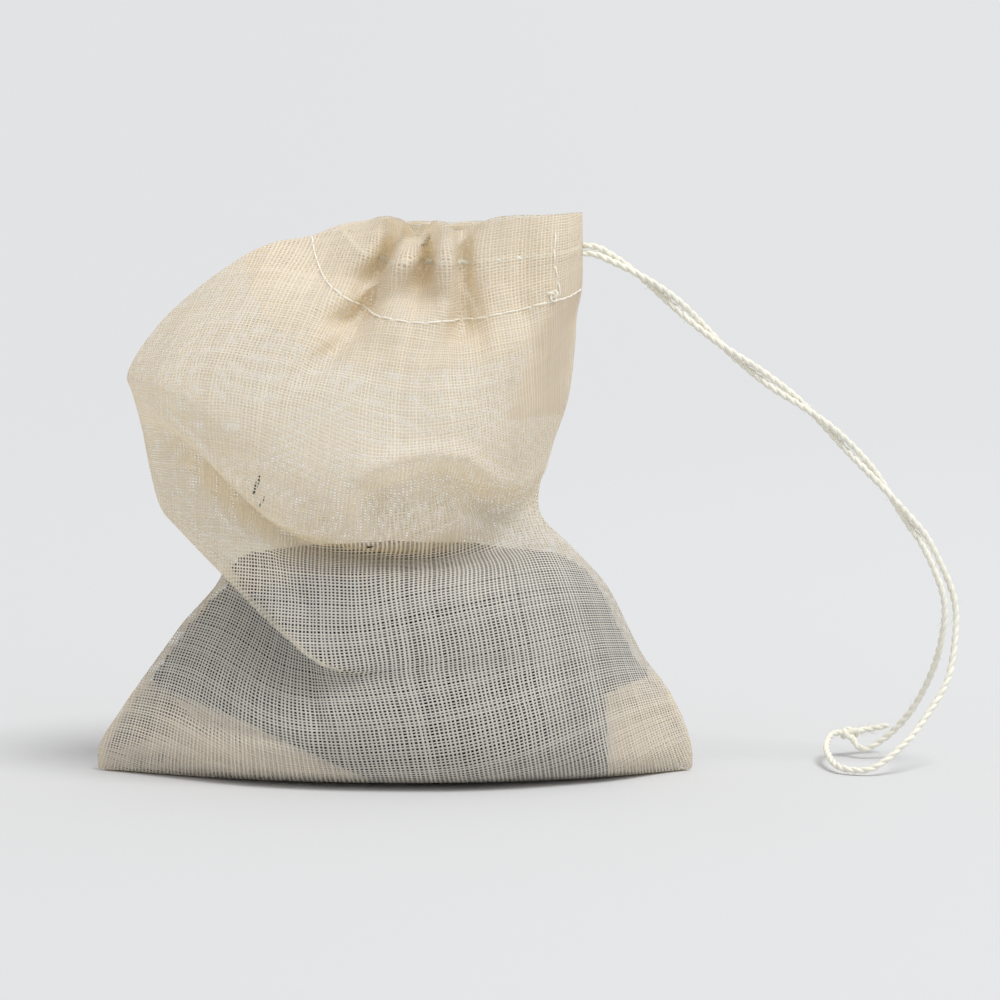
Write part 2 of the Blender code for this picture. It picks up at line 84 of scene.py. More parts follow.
# The front panel's running lines from the bottom seam to the top of the hem, left seam to right.
# back = (depth, rise, ripple) of the back panel's line.
LINES = [
    dict(steps=2, back=(0, 0, 0), front=[
        (-98, 0, 0), (-73, 0, 0), (-49, 0, 0), (-24, 0, 0), (1, 0, 0), (25, 0, 0), (50, 0, 0),
        (75, 0, 0), (98, 0, 0)]),
    dict(steps=2, back=(86, 0, 0), front=[
        (-99.8, 0, 0), (-75, -30, 0), (-50, -56, 0), (-24.5, -70, 0), (1, -72, 0), (25.5, -72, 0),
        (51, -62, 0), (75.5, -38, 0), (99.6, 0, 0)]),
    dict(steps=2, back=(104, -2, 0), front=[
        (-100, 0, 3.9), (-74, -47, 3.8), (-49, -83, 2.6), (-24, -100, 2), (1, -107, 1.8),
        (25, -107, 2), (50, -90, 2.3), (75.5, -60, 2.6), (99.8, 0, 3.9)]),
    dict(steps=3, back=(123, -3, 0), front=[
        (-93, 0, 10.3), (-69, -53, 9.4), (-46, -93, 7), (-22, -113, 6), (2, -120, 5.7),
        (25, -120, 5.9), (50, -103, 6.2), (74, -67, 7), (97, 0, 8.9)]),
    dict(steps=3, back=(126, -6, 4), front=[
        (-73, 0, 25.3), (-58, -53, 20.6), (-40, -93, 14.3), (-20, -117, 11.8), (2, -123, 11.6),
        (24, -123, 12), (49, -107, 12.3), (71.5, -70, 12.8), (91.6, 0, 14.6)]),
    dict(steps=1, back=(112, -4, 5), front=[
        (-58, 7, 36.4), (-44.6, -43, 31), (-32, -80, 24.6), (-18.5, -109, 20.6), (1, -117, 20),
        (22.5, -117, 20.7), (46, -100, 21), (67.4, -63, 20.8), (84, 7, 19.8)]),
    dict(steps=3, back=(108, -3, 6), front=[
        (-77, -13, 46.1), (-58, -76, 37.8), (-39, -109, 28.9), (-23.5, -118, 22.5),
        (-2, -117, 23.8), (20.5, -116, 24.6), (44.3, -99, 25.1), (64.7, -61, 24.7),
        (80, 7, 23.7)]),
    dict(steps=2, back=(100, -2, 6), front=[
        (-81.5, -13, 53.3), (-66, -70, 48.6), (-46, -99, 40.1), (-28.5, -108, 33.2),
        (-5.7, -107, 33.2), (18.5, -103, 33.6), (42, -84, 34), (59, -48, 33.6), (71, 7, 33)]),
    dict(steps=1, back=(95, -2, 6), front=[
        (-83, -8, 57), (-68.5, -62, 54.2), (-48.5, -90, 45.6), (-30, -98, 39), (-7, -96, 37.6),
        (15, -88, 37.3), (36, -66, 38.2), (50, -34, 39.4), (59, 10, 40)]),
    dict(steps=2, back=(88, -3, 5), front=[
        (-84.5, 0, 60.6), (-69, -37, 59.5), (-50, -58, 50), (-32, -65, 43.2), (-8.4, -63, 40.8),
        (11.7, -53, 40), (30.2, -32, 41), (41, -10, 43), (49, 13, 45.5)]),
    dict(steps=2, back=(92, -3, 5), front=[
        (-87, 0, 65.9), (-77, -53, 64.2), (-58, -92, 56.6), (-37, -108, 47.4), (-15, -104, 43.9),
        (8.4, -88, 43.8), (27, -54, 46.5), (39, -20, 49.5), (48.5, 18, 50.2)]),
    dict(steps=2, back=(98, -3, 5), front=[
        (-88.4, 0, 68.3), (-76.5, -60, 67), (-56.5, -103, 60.2), (-34, -125, 52.8),
        (-11, -125, 50.3), (9, -112, 51.2), (23, -93, 52.6), (33, -72, 53.4), (44, -32, 56.5),
        (53, 17, 58)]),
    dict(steps=3, back=(104, -2, 6), front=[
        (-89.6, 0, 70.6), (-75.5, -67, 69.9), (-54.7, -110, 64.5), (-30, -132, 59.5),
        (-5.7, -133, 58.2), (15, -121, 58.7), (32.5, -95, 61), (46.6, -50, 63.9), (58, 13, 66)]),
    dict(steps=3, back=(102, 0, 7), front=[
        (-77, 0, 80.9), (-65.4, -67, 75.8), (-47, -107, 70.4), (-23.5, -125, 67.2),
        (-1.7, -122, 66.1), (17.4, -114, 66.9), (33.5, -92, 68.9), (48.6, -55, 71.9),
        (60.4, 13, 75.8)]),
    dict(steps=2, back=(86, -3, 9), front=[
        (-44.6, 0, 93.6), (-41.3, -50, 87.4), (-31, -84, 81.4), (-22.5, -86, 78.8),
        (-17.5, -76, 77.4), (-12, -91, 76.6), (-4, -104, 75.9), (5, -106, 75.5),
        (13.5, -102, 75.4), (21, -87, 75.9), (27, -84, 76.4), (33.5, -86, 76.9), (42, -75, 77.8),
        (52, -54, 79.2), (61, 7, 81.3)]),
    dict(steps=3, back=(74, -6, 8), front=[
        (-27.8, 13, 95.4), (-26, -20, 92.1), (-22, -50, 88.2), (-17, -66, 86.2),
        (-12.5, -60, 84.7), (-9.6, -39, 83.7), (-7, -62, 83), (-3, -82, 82.4), (3.4, -90, 82),
        (11, -92, 81.8), (17, -86, 82), (20.6, -67, 81.8), (23.2, -54, 81.9), (27.5, -62, 82),
        (32, -69, 82.6), (38, -65, 83.2), (42.6, -59, 83.6), (47.6, -61, 84.4), (52.7, -55, 84.9),
        (57.7, -33, 85.3), (62.7, 7, 86.1)]),
    dict(steps=3, back=(70, -4, 8), front=[
        (-18.1, 20, 97.2), (-15.6, -14, 96), (-12.4, -40, 94.4), (-8.6, -53, 93),
        (-5.6, -46, 92.2), (-3.6, -26, 91.9), (-2, -50, 91.9), (1, -72, 92.1), (4.6, -77, 92.2),
        (7.8, -68, 92.1), (10, -46, 91.8), (11.5, -35, 91.6), (13, -56, 91.8), (15.4, -84, 92.1),
        (18.4, -86, 92.1), (21, -62, 91.8), (23, -46, 91.7), (26, -55, 91.9), (30, -61, 92.1),
        (35, -58, 92.3), (42, -52, 92.6), (48.6, -53, 92.9), (55, -46, 93.1), (60, -26, 93.2),
        (62.9, 7, 93.2)]),
    dict(steps=0, back=(66, -2, 7), front=[
        (-8, 30, 98), (-6.6, -4, 98.8), (-4, -32, 99.5), (-0.5, -52, 99.8), (3.6, -60, 99.2),
        (5.8, -44, 97.6), (8, -22, 96), (10.2, -36, 96.6), (12.2, -62, 98.6), (14.6, -76, 99.6),
        (18, -70, 98.8), (20.6, -52, 97.4), (23, -44, 97.6), (26.4, -50, 98.4), (30, -56, 99.1),
        (35, -55, 99.8), (42, -49, 100), (48.6, -48, 100), (54.7, -40, 100), (59.4, -23, 100),
        (62.7, 7, 99.6)]),
]
HEM_SEAM_LINE = 15
FINENESS = 5  # rows of cloth for each step of a line
COLUMNS = 170  # across each panel
HEM_ROWS = 40  # down the turned-in layer
LINE_DETAIL = 12  # points to each span of a running line
ROUTE_DETAIL = 8  # points to each span of the string's route
BACK_POINTS = 17  # along each line of the back panel
BACK_HALF_WAVES = 9
BACK_FULLNESS = 0.8
MAP_ROUNDS = 260  # at most, to lay the cloth out flat
MAP_NEAR_ENOUGH = 1e-16
TURNED_IN_BELOW_SEAM = 0.42  # as a share of the hem's depth
LAYER_GAP = 0.0003  # between the hem's layers
STRING_GAP = 0.0006  # added to it where the string runs
STRING_BAND = 0.2  # how much of the hem's depth the string opens, as a share

# Which way the weft runs: (across, up) of the front view in millimetres, and its fall to the
# right in degrees
WEFT_FALL = [
    (4.5, 15.9, -18), (21.5, 15.9, -19), (30, 6, -14), (-20, 15.9, 27), (-31, 5, 12), (0, 2, -12),
    (-5, 12, -15), (14, 8, -18), (11, 22, -19), (1, 23, -17), (20, 24, -18), (14, 2, -15),
    (-1.3, 54.9, 16), (17.5, 66.6, 2), (20.8, 54.9, -12), (-12.4, 38, 29), (-28, 41.9, -15),
    (10, 46, -12), (5.8, 66, 3), (-8, 62, 20), (-20, 58, 24), (12, 25, -16), (-8, 24, 6),
]

# The drawstring outside the hem
PAIR_ROUTE = [
    (63.1, 6.7, 91), (66.5, 7, 90.9), (72, 7, 89.6), (82.2, 8, 86.3), (92.2, 9, 82.2),
    (102.3, 10, 77.4), (110.7, 11, 73.4), (119.1, 12, 70), (127.5, 13, 66.7), (135.9, 14, 63.5),
    (144.2, 15, 59.8), (152.6, 16, 55.4), (161, 17, 50.6), (169.4, 18, 44.9), (178, 19, 38.9)]
LEFT_FALL = [
    (184.9, 17, 30.3), (184.5, 24, 23), (181.2, 38, 15.7), (174.4, 52, 8.3), (166, 60, 3.4),
    (159, 62, 1.4)]
RIGHT_FALL = [
    (188.5, 24, 30.2), (188.9, 20, 23), (186.2, 9, 15.9), (179.5, -4, 10.2), (171.1, -20, 5.2),
    (159.4, -30, 0.95), (150, -20, 0.85), (146.1, 16, 2.2), (146.6, 46, 3.4), (149.4, 68, 4.2)]
KNOT_ROUTE = [(154.6, 76, 3.9), (157.5, 82, 4.0), (162, 88, 4.2), (167.5, 92, 4.6)]
CORD_EXIT = (0.0244, 0.001, 0.0682)
PAIR_TURNS = 2
PAIR_STEPS = 34
ROUTE_STEP = 0.0008
CASING_MIDDLE = 0.5  # the string's place in the hem, as a share of its depth
CASING_STEPS = 150
SEAM_MARGIN = 3  # columns kept clear of the side seams
CASING_SMOOTHING = 2

# Parts of the string, as shares of a strand's diameter
PLY_RADIUS = 0.35
STRAND_RADIUS = 0.52
CASING_DEPTH = 0.5  # behind the outer cloth
CASING_DIAMETER = 0.9
KNOT_RADIUS = 0.42
TAIL_ASIDE = 0.45
TAIL_DIAMETER = 0.95
FIBRE_ROOT = 0.42
FIBRE_REACH = (0.25, 0.7)
TWIST_DETAIL = 12  # points to each turn of the plies

FIBRE_RADIUS = 0.000022
FIBRES_PER_STRAND = 110
FIBRES_PER_TAIL = 26
LOWEST_FIBRE = 0.00012


# Sizes and colours


def length(name, description, default):
    return bpy.props.FloatProperty(
        name=name, description=description, default=default, min=0.00001, unit="LENGTH")


def colour(name, description, default):
    return bpy.props.FloatVectorProperty(
        name=name, description=description, default=default, size=3, min=0, max=1, subtype="COLOR")


class TeaBagSizes(bpy.types.PropertyGroup):
    warp_spacing: length("Warp spacing", "From one upright thread of the cloth to the next", 0.00053)
    weft_spacing: length("Weft spacing", "From one cross thread of the cloth to the next", 0.00037)
    strand_diameter: length("Strand", "Diameter of one strand of the drawstring", 0.0009)
    strand_pitch: length("Pair pitch", "Between two strands that lie side by side", 0.001)
    ply_twist: length("Ply twist", "Length in which a strand's two plies go round once", 0.0027)
    knot_diameter: length("Knot", "Across the drawstring's knot", 0.0026)
    stitch: length("Stitch", "Length of one stitch", 0.0021)
    thread_diameter: length("Thread", "Diameter of the sewing thread", 0.00022)
    leaves: bpy.props.IntProperty(
        name="Leaves", description="Loose leaves on the tea", default=520, min=0)


class TeaBagColours(bpy.types.PropertyGroup):
    muslin: colour("Muslin", "Unbleached cotton cloth", (0.915, 0.885, 0.825))
    muslin_lit: colour("Muslin against light", "Light that comes through the cloth", (1.0, 0.83, 0.52))
    tea: colour("Tea", "Dried black leaves", (0.012, 0.010, 0.009))
    tea_dust: colour("Tea dust", "Brown crumbs between the leaves", (0.05, 0.032, 0.02))
    petal: colour("Petal", "Dried orange petals in the blend", (0.55, 0.16, 0.07))
    cord: colour("String", "Ivory cotton string", (0.87, 0.85, 0.75))
    thread: colour("Thread", "Ivory sewing thread", (0.90, 0.87, 0.78))
    floor: colour("Floor", "Pale table and backdrop", (0.64, 0.645, 0.653))


def sizes():
    return bpy.context.scene.tea_bag_sizes


def colours():
    return bpy.context.scene.tea_bag_colours


# Points and curves


def place(share):
    """A point in hundredths of the bag's own measures, in metres."""
    across, depth, height = share
    return np.array((
        across / 100 * BASE_WIDTH / 2,
        depth / 100 * BASE_DEPTH / 2,
        CLOTH_THICKNESS / 2 + height / 100 * (STANDING_HEIGHT - CLOTH_THICKNESS),
    ))


def size_of(vectors):
    return np.sqrt((vectors ** 2).sum(-1, keepdims=True))


def unit(vectors):
    return vectors / np.maximum(size_of(vectors), 1e-12)


def cubic(before, start, end, after, share):
    """A curve from start to end whose slopes allow for uneven spacing."""
    t0 = np.zeros_like(before[..., :1])
    t1 = t0 + np.maximum(np.sqrt(size_of(start - before)), 1e-6)
    t2 = t1 + np.maximum(np.sqrt(size_of(end - start)), 1e-6)
    t3 = t2 + np.maximum(np.sqrt(size_of(after - end)), 1e-6)
    t = t1 + (t2 - t1) * share
    a1 = (before * (t1 - t) + start * (t - t0)) / (t1 - t0)
    a2 = (start * (t2 - t) + end * (t - t1)) / (t2 - t1)
    a3 = (end * (t3 - t) + after * (t - t2)) / (t3 - t2)
    b1 = (a1 * (t2 - t) + a2 * (t - t0)) / (t2 - t0)
    b2 = (a2 * (t3 - t) + a3 * (t - t1)) / (t3 - t1)
    return (b1 * (t2 - t) + b2 * (t - t1)) / (t2 - t1)


def smooth_through(points, per_span):
    """The points of a smooth open curve through the given ones."""
    points = [np.asarray(point, float) for point in points]
    ends = [points[0] * 2 - points[1]] + points + [points[-1] * 2 - points[-2]]
    curve = [cubic(ends[i - 1], ends[i], ends[i + 1], ends[i + 2], k / per_span)
             for i in range(1, len(ends) - 2) for k in range(per_span)]
    return np.array(curve + [points[-1]])


def lengths_along(curve):
    return np.concatenate(([0], np.cumsum(size_of(np.diff(curve, axis=0))[:, 0])))


def evenly(curve, spans):
    """The curve cut into so many equal lengths."""
    run = lengths_along(curve)
    stops = np.linspace(0, run[-1], spans + 1)
    return np.stack([np.interp(stops, run, curve[:, axis]) for axis in range(3)], 1)


def back_line(right, left, depth, rise, ripple):
    """The back panel's points, from the right seam round to the left."""
    share = np.linspace(0, 1, BACK_POINTS)[:, None]
    bulge = np.sin(math.pi * share)
    wave = np.sin(share * math.pi * BACK_HALF_WAVES) * bulge * ripple
    back = (depth * np.maximum(bulge, 0) ** BACK_FULLNESS + wave) / 100 * BASE_DEPTH / 2
    lift = rise / 100 * STANDING_HEIGHT * bulge
    return right + (left - right) * share + np.concatenate((back * 0, back, lift), 1)


def panel_rows(front):
    """One panel of the bag, row by row from the bottom seam to the hem's top."""
    rounds = []
    for line in LINES:
        points = [place(point) for point in line["front"]]
        if not front:
            points = back_line(points[-1], points[0], *line["back"])
        rounds.append(evenly(smooth_through(points, LINE_DETAIL), COLUMNS))
    rows = [rounds[0]]
    for i, line in enumerate(LINES[:-1]):
        count = line["steps"] * FINENESS
        here, there = rounds[i], rounds[i + 1]
        after = rounds[i + 2] if i + 2 < len(rounds) else there * 2 - here
        for k in range(1, count + 1):
            if i == 0:
                rows.append(here + (there - here) * k / count)
            else:
                rows.append(cubic(rounds[i - 1], here, there, after, k / count))
    rows = np.array(rows)
    rows[..., 2] = np.maximum(rows[..., 2], CLOTH_THICKNESS / 2)
    return rows


def line_row(number):
    """The row of one of the running lines."""
    return FINENESS * sum(line["steps"] for line in LINES[:number])


def seam_row():
    """The row of the hem's seam."""
    return line_row(HEM_SEAM_LINE)


def outward(rows):
    """The cloth's outward direction at each point."""
    across = np.gradient(rows, axis=1)
    upward = np.gradient(rows, axis=0)
    return unit(np.cross(across, upward))


def front_view(points):
    """Where points lie in the front view, in millimetres across and up."""
    up = points[..., 2] * math.cos(VIEW_TILT) + points[..., 1] * math.sin(VIEW_TILT)
    return np.stack((points[..., 0], up), -1) * 1000


# Shader helpers


class Wiring:
    """Adds nodes to one tree and joins them."""

    def __init__(self, tree):
        self.tree = tree

    def add(self, kind, inputs=None, **settings):
        node = self.tree.nodes.new(kind)
        for name, value in settings.items():
            setattr(node, name, value)
        for name, value in (inputs or {}).items():
            self.feed(node.inputs[name], value)
        return node

    def feed(self, socket, value):
        if isinstance(value, bpy.types.NodeSocket):
            self.tree.links.new(value, socket)
        else:
            socket.default_value = value

    def maths(self, operation, *values):
        node = self.tree.nodes.new("ShaderNodeMath")
        node.operation = operation
        for socket, value in zip(node.inputs, values):
            self.feed(socket, value)
        return node.outputs[0]

    def between(self, value, low, high, to_low=0.0, to_high=1.0, kind="SMOOTHSTEP"):
        node = self.add("ShaderNodeMapRange", interpolation_type=kind)
        for name, given in (("Value", value), ("From Min", low), ("From Max", high),
                            ("To Min", to_low), ("To Max", to_high)):
            self.feed(node.inputs[name], given)
        return node.outputs["Result"]

    def noise(self, vector, scale, detail=2.0, output="Fac"):
        node = self.add("ShaderNodeTexNoise", {"Vector": vector, "Scale": scale, "Detail": detail})
        return node.outputs[output]

    def mixed(self, factor, first, second, blend="MIX"):
        node = self.add("ShaderNodeMix", data_type="RGBA", blend_type=blend)
        given = ((node.inputs[0], factor), (node.inputs[6], first), (node.inputs[7], second))
        for socket, value in given:
            if not isinstance(value, (bpy.types.NodeSocket, float, int)):
                value = (*value, 1.0) if len(value) == 3 else value
            self.feed(socket, value)
        return node.outputs[2]


def new_group(name, inputs, outputs):
    tree = bpy.data.node_groups.new(name, "ShaderNodeTree")
    for label, kind, default in inputs:
        socket = tree.interface.new_socket(label, in_out="INPUT", socket_type=kind)
        if default is not None:
            socket.default_value = default
    for label, kind in outputs:
        tree.interface.new_socket(label, in_out="OUTPUT", socket_type=kind)
    wiring = Wiring(tree)
    return tree, wiring, wiring.add("NodeGroupInput").outputs, wiring.add("NodeGroupOutput").inputs


WEAVE_WANDER = 0.5  # how far rows of threads sway, in threads
WEAVE_JITTER = 0.16  # how far a thread shakes along its length, in threads
THREAD_SHIFT = 0.2  # how far a whole thread lies out of its place
STREAKS = ((330.0, 26.0, 1.0), (26.0, 420.0, 1.0))  # thick and thin places along warp and weft
EDGE_SOFTNESS = 0.12
LIGHT_SHARE = 0.42  # of the cloth's light that comes through it


def weave_group():
    """Plain weave: how much of the cloth is thread, how the threads stand, and their shade: each thread's
    own tone, with painted shade where it dips under the crossing thread and towards its edges.
    """
    tree, w, given, result = new_group("plain_weave", [
        ("Threads", "NodeSocketVector", None), ("Warp Spacing", "NodeSocketFloat", 0.0006),
        ("Weft Spacing", "NodeSocketFloat", 0.0004), ("Warp Width", "NodeSocketFloat", 0.4),
        ("Weft Width", "NodeSocketFloat", 0.5), ("Unevenness", "NodeSocketFloat", 0.5),
    ], [("Cover", "NodeSocketFloat"), ("Height", "NodeSocketFloat"), ("Shade", "NodeSocketFloat")])
    threads = given["Threads"]
    parts = w.add("ShaderNodeSeparateXYZ", {"Vector": threads}).outputs
    wander = w.add("ShaderNodeSeparateColor", {"Color": w.noise(threads, 170.0, 2.0, "Color")}).outputs
    jitter = w.add("ShaderNodeSeparateColor", {"Color": w.noise(threads, 1500.0, 1.0, "Color")}).outputs
    counted, offs, masks, shades, seeds = [], [], [], [], []
    for k, name in enumerate(("Warp", "Weft")):
        spacing, width = given[f"{name} Spacing"], given[f"{name} Width"]
        count = w.maths("DIVIDE", parts[k], spacing)
        for drift, amount in ((wander, WEAVE_WANDER), (jitter, WEAVE_JITTER)):
            aside = w.maths("MULTIPLY", w.maths("SUBTRACT", drift[k], 0.5), amount)
            count = w.maths("ADD", count, aside)
        number = w.maths("FLOOR", count)
        seed = w.add("ShaderNodeTexWhiteNoise", {"W": w.maths("ADD", number, 0.37 + 500 * k)},
                     noise_dimensions="1D").outputs["Color"]
        seed = w.add("ShaderNodeSeparateColor", {"Color": seed}).outputs
        shift = w.maths("MULTIPLY", w.maths("SUBTRACT", seed[0], 0.5), THREAD_SHIFT)
        off = w.maths("ADD", w.maths("SUBTRACT", w.maths("FRACT", count), 0.5), shift)
        off = w.maths("MULTIPLY", w.maths("ABSOLUTE", off), 2.0)
        along = w.add("ShaderNodeVectorMath", {0: threads, 1: STREAKS[k]}, operation="MULTIPLY")
        streak = w.maths("SUBTRACT", w.noise(along.outputs[0], 1.0, 3.0), 0.5)
        uneven = w.maths("ADD", w.maths("SUBTRACT", seed[1], 0.5), w.maths("MULTIPLY", streak, 1.5))
        uneven = w.maths("MULTIPLY_ADD", uneven, given["Unevenness"], 1.0)
        wide = w.maths("MULTIPLY", width, uneven)
        outer = w.maths("ADD", wide, EDGE_SOFTNESS)
        masks.append(w.between(off, outer, w.maths("SUBTRACT", wide, EDGE_SOFTNESS)))
        counted.append(w.maths("SUBTRACT", count, 0.5))
        offs.append(w.maths("DIVIDE", off, w.maths("MAXIMUM", wide, 0.05)))
        seeds.append(number)
        shades.append(w.maths("MULTIPLY_ADD", seed[2], 0.1, 0.95))
    heights = []
    for k in range(2):
        over = w.maths("ADD", counted[1 - k], seeds[k])
        over = w.maths("COSINE", w.maths("MULTIPLY", w.maths("ADD", over, float(k)), math.pi))
        rise = w.maths("MULTIPLY_ADD", over, 0.3, 0.6)
        crown = w.maths("SUBTRACT", 1.0, w.maths("MULTIPLY", w.maths("POWER", offs[k], 2.0), 0.45))
        heights.append(w.maths("MULTIPLY", w.maths("MULTIPLY", rise, crown), masks[k]))
    height = w.maths("MAXIMUM", heights[0], heights[1])
    warp_on_top = w.maths("GREATER_THAN", heights[0], heights[1])
    tone = w.maths("ADD", w.maths("MULTIPLY", shades[0], warp_on_top),
                   w.maths("MULTIPLY", shades[1], w.maths("SUBTRACT", 1.0, warp_on_top)))
    w.feed(result["Cover"], w.maths("MAXIMUM", masks[0], masks[1]))
    w.feed(result["Height"], height)
    # Shade: each thread's own tone, with painted shade that darkens a thread where it dips under the
    # crossing one and towards its edges
    w.feed(result["Shade"], w.maths("MULTIPLY", tone, w.maths("MULTIPLY_ADD", height, 0.16, 0.86)))
    return tree


def fibre_group():
    """Spun cotton: fine fibres with slubs, on object coordinates."""
    tree, w, given, result = new_group(
        "spun_cotton", [("Vector", "NodeSocketVector", None), ("Scale", "NodeSocketFloat", 1.0)],
        [("Height", "NodeSocketFloat"), ("Shade", "NodeSocketFloat")])
    placed = w.add(
        "ShaderNodeVectorMath", {0: given["Vector"], "Scale": given["Scale"]}, operation="SCALE")
    fine = w.noise(placed.outputs[0], 9000.0, 3.0)
    slub = w.noise(placed.outputs[0], 900.0, 2.0)
    w.feed(result["Height"], w.maths("MULTIPLY_ADD", slub, 0.6, fine))
    speckle = w.maths("MULTIPLY_ADD", fine, 0.16, 0.8)
    w.feed(result["Shade"], w.maths("ADD", w.maths("MULTIPLY", slub, 0.22), speckle))
    return tree


def new_material(name):
    material = bpy.data.materials.new(name)
    material.use_nodes = True
    tree = material.node_tree
    tree.nodes.clear()
    return material, Wiring(tree)


def group_node(w, group, inputs):
    node = w.add("ShaderNodeGroup", node_tree=group)
    for name, value in inputs.items():
        w.feed(node.inputs[name], value)
    return node.outputs


def muslin_material():
    """Open muslin: pale threads with holes between them, and light that comes through."""
    material, w = new_material("unbleached_muslin")
    threads = w.add("ShaderNodeUVMap", uv_map="threads").outputs[0]
    weave = group_node(w, bpy.data.node_groups["plain_weave"], {
        "Threads": threads, "Warp Spacing": sizes().warp_spacing,
        "Weft Spacing": sizes().weft_spacing, "Warp Width": 0.47, "Weft Width": 0.5,
        "Unevenness": 0.3})
    where = w.add("ShaderNodeTexCoord").outputs["Object"]
    tone = w.between(w.noise(where, 90.0, 3.0), 0.3, 0.7, 0.96, 1.02)
    # The threads' own tone and random blotches, with the weave's painted shade where threads dip under
    # each other
    tone_and_painted_shade = w.maths("MULTIPLY", weave["Shade"], tone)
    bump = w.add("ShaderNodeBump", {"Strength": 0.5, "Distance": 0.0001, "Height": weave["Height"]})
    face = w.add("ShaderNodeBsdfPrincipled", {
        "Base Color": w.mixed(1.0, tuple(colours().muslin), tone_and_painted_shade, "MULTIPLY"),
        "Roughness": 0.88, "Sheen Weight": 0.12, "Specular IOR Level": 0.2,
        "Normal": bump.outputs[0]})
    through = w.add("ShaderNodeBsdfTranslucent", {
        "Color": w.mixed(1.0, tuple(colours().muslin_lit), tone_and_painted_shade, "MULTIPLY"),
        "Normal": bump.outputs[0]})
    cloth = w.add("ShaderNodeMixShader", {0: LIGHT_SHARE, 1: face.outputs[0], 2: through.outputs[0]})
    open_weave = w.add("ShaderNodeMixShader", {
        0: weave["Cover"], 1: w.add("ShaderNodeBsdfTransparent").outputs[0], 2: cloth.outputs[0]})
    w.add("ShaderNodeOutputMaterial", {"Surface": open_weave.outputs[0]})
    return material


def cotton_material(name, tint, scale):
    """Spun cotton for the string and the sewing thread."""
    material, w = new_material(name)
    where = w.add("ShaderNodeTexCoord").outputs["Object"]
    fibre = group_node(w, bpy.data.node_groups["spun_cotton"], {"Vector": where, "Scale": scale})
    bump = w.add("ShaderNodeBump", {"Strength": 0.5, "Distance": 0.00008, "Height": fibre["Height"]})
    cotton = w.add("ShaderNodeBsdfPrincipled", {
        "Base Color": w.mixed(1.0, tuple(tint), fibre["Shade"], "MULTIPLY"),
        "Roughness": 0.85, "Sheen Weight": 0.2, "Specular IOR Level": 0.25,
        "Normal": bump.outputs[0]})
    w.add("ShaderNodeOutputMaterial", {"Surface": cotton.outputs[0]})
    return material


def leaf_material(name, dark, light, scale):
    """Dried leaf: dark, mottled and slightly shiny on its curled edges."""
    material, w = new_material(name)
    where = w.add("ShaderNodeTexCoord").outputs["Object"]
    mottle = w.between(w.noise(where, scale, 4.0), 0.42, 0.72)
    fine = w.noise(where, scale * 5, 3.0)
    bump = w.add("ShaderNodeBump", {"Strength": 0.7, "Distance": 0.0003, "Height": fine})
    leaf = w.add("ShaderNodeBsdfPrincipled", {
        "Base Color": w.mixed(mottle, tuple(dark), tuple(light)),
        "Roughness": w.between(fine, 0.3, 0.7, 0.6, 0.9), "Specular IOR Level": 0.15,
        "Normal": bump.outputs[0]})
    w.add("ShaderNodeOutputMaterial", {"Surface": leaf.outputs[0]})
    return material


# Pieces


def finish_piece(name, bm, material, replaced=()):
    """A finished piece: its mesh in place, riding on the bag."""
    mesh = bpy.data.meshes.new(name)
    bm.to_mesh(mesh)
    bm.free()
    mesh.materials.append(material)
    mesh.shade_smooth()
    piece = bpy.data.objects.new(name, mesh)
    bpy.context.scene.collection.objects.link(piece)
    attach(piece, "root")
    if replaced:
        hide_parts(*replaced)
    return piece


def add_tube(bm, points, radius, radii=None, closed=False, resolution=2):
    """A round strand through the points, added to a mesh."""
    curve = bpy.data.curves.new("tube", "CURVE")
    curve.dimensions = "3D"
    curve.bevel_depth = radius
    curve.bevel_resolution = resolution
    curve.use_fill_caps = True
    curve.twist_mode = "MINIMUM"
    spline = curve.splines.new("POLY")
    spline.points.add(len(points) - 1)
    placed = np.concatenate((points, np.ones((len(points), 1))), 1)
    spline.points.foreach_set("co", placed.ravel())
    if radii is not None:
        spline.points.foreach_set("radius", np.asarray(radii, float))
    spline.use_cyclic_u = closed
    holder = bpy.data.objects.new("tube", curve)
    bpy.context.scene.collection.objects.link(holder)
    graph = bpy.context.evaluated_depsgraph_get()
    mesh = bpy.data.meshes.new_from_object(holder.evaluated_get(graph))
    bm.from_mesh(mesh)
    bpy.data.objects.remove(holder, do_unlink=True)
    bpy.data.curves.remove(curve)
    bpy.data.meshes.remove(mesh)


def sideways(points):
    """Two directions square to the curve at each point, turning as little as they can."""
    along = unit(np.gradient(points, axis=0))
    first = []
    side = unit(np.cross(along[0], (0.0, 1.0, 0.3)))
    for way in along:
        side = unit(side - way * (side @ way))
        first.append(side)
    first = np.array(first)
    return first, np.cross(along, first)


def add_twisted(bm, route, diameter, twist, start=0.0):
    """A two-ply strand: two plies wound round the route."""
    points = evenly(np.asarray(route), max(8, round(lengths_along(route)[-1] / (twist / TWIST_DETAIL))))
    first, second = sideways(points)
    run = lengths_along(points)[:, None]
    ply = diameter * PLY_RADIUS
    for half in range(2):
        turn = 2 * math.pi * run / twist + math.pi * half + start
        plied = points + (first * np.cos(turn) + second * np.sin(turn)) * (diameter * STRAND_RADIUS - ply)
        add_tube(bm, plied, ply, resolution=1)


def add_fuzz(bm, route, diameter, count, seed):
    """Stray fibres that stand off a strand."""
    rng = random.Random(seed)
    first, second = sideways(route)
    for _ in range(count):
        at = rng.randrange(2, len(route) - 3)
        turn = rng.uniform(0, 2 * math.pi)
        out = first[at] * math.cos(turn) + second[at] * math.sin(turn)
        ahead = unit(route[at + 1] - route[at]) * rng.uniform(-1, 1)
        reach = rng.uniform(*FIBRE_REACH) * diameter
        base = route[at] + out * diameter * FIBRE_ROOT
        points = np.array([base, base + (out * 0.7 + ahead * 0.6) * reach,
                           base + (out + ahead * 1.6) * reach])
        points[:, 2] = np.maximum(points[:, 2], LOWEST_FIBRE)
        add_tube(bm, points, FIBRE_RADIUS, resolution=0)


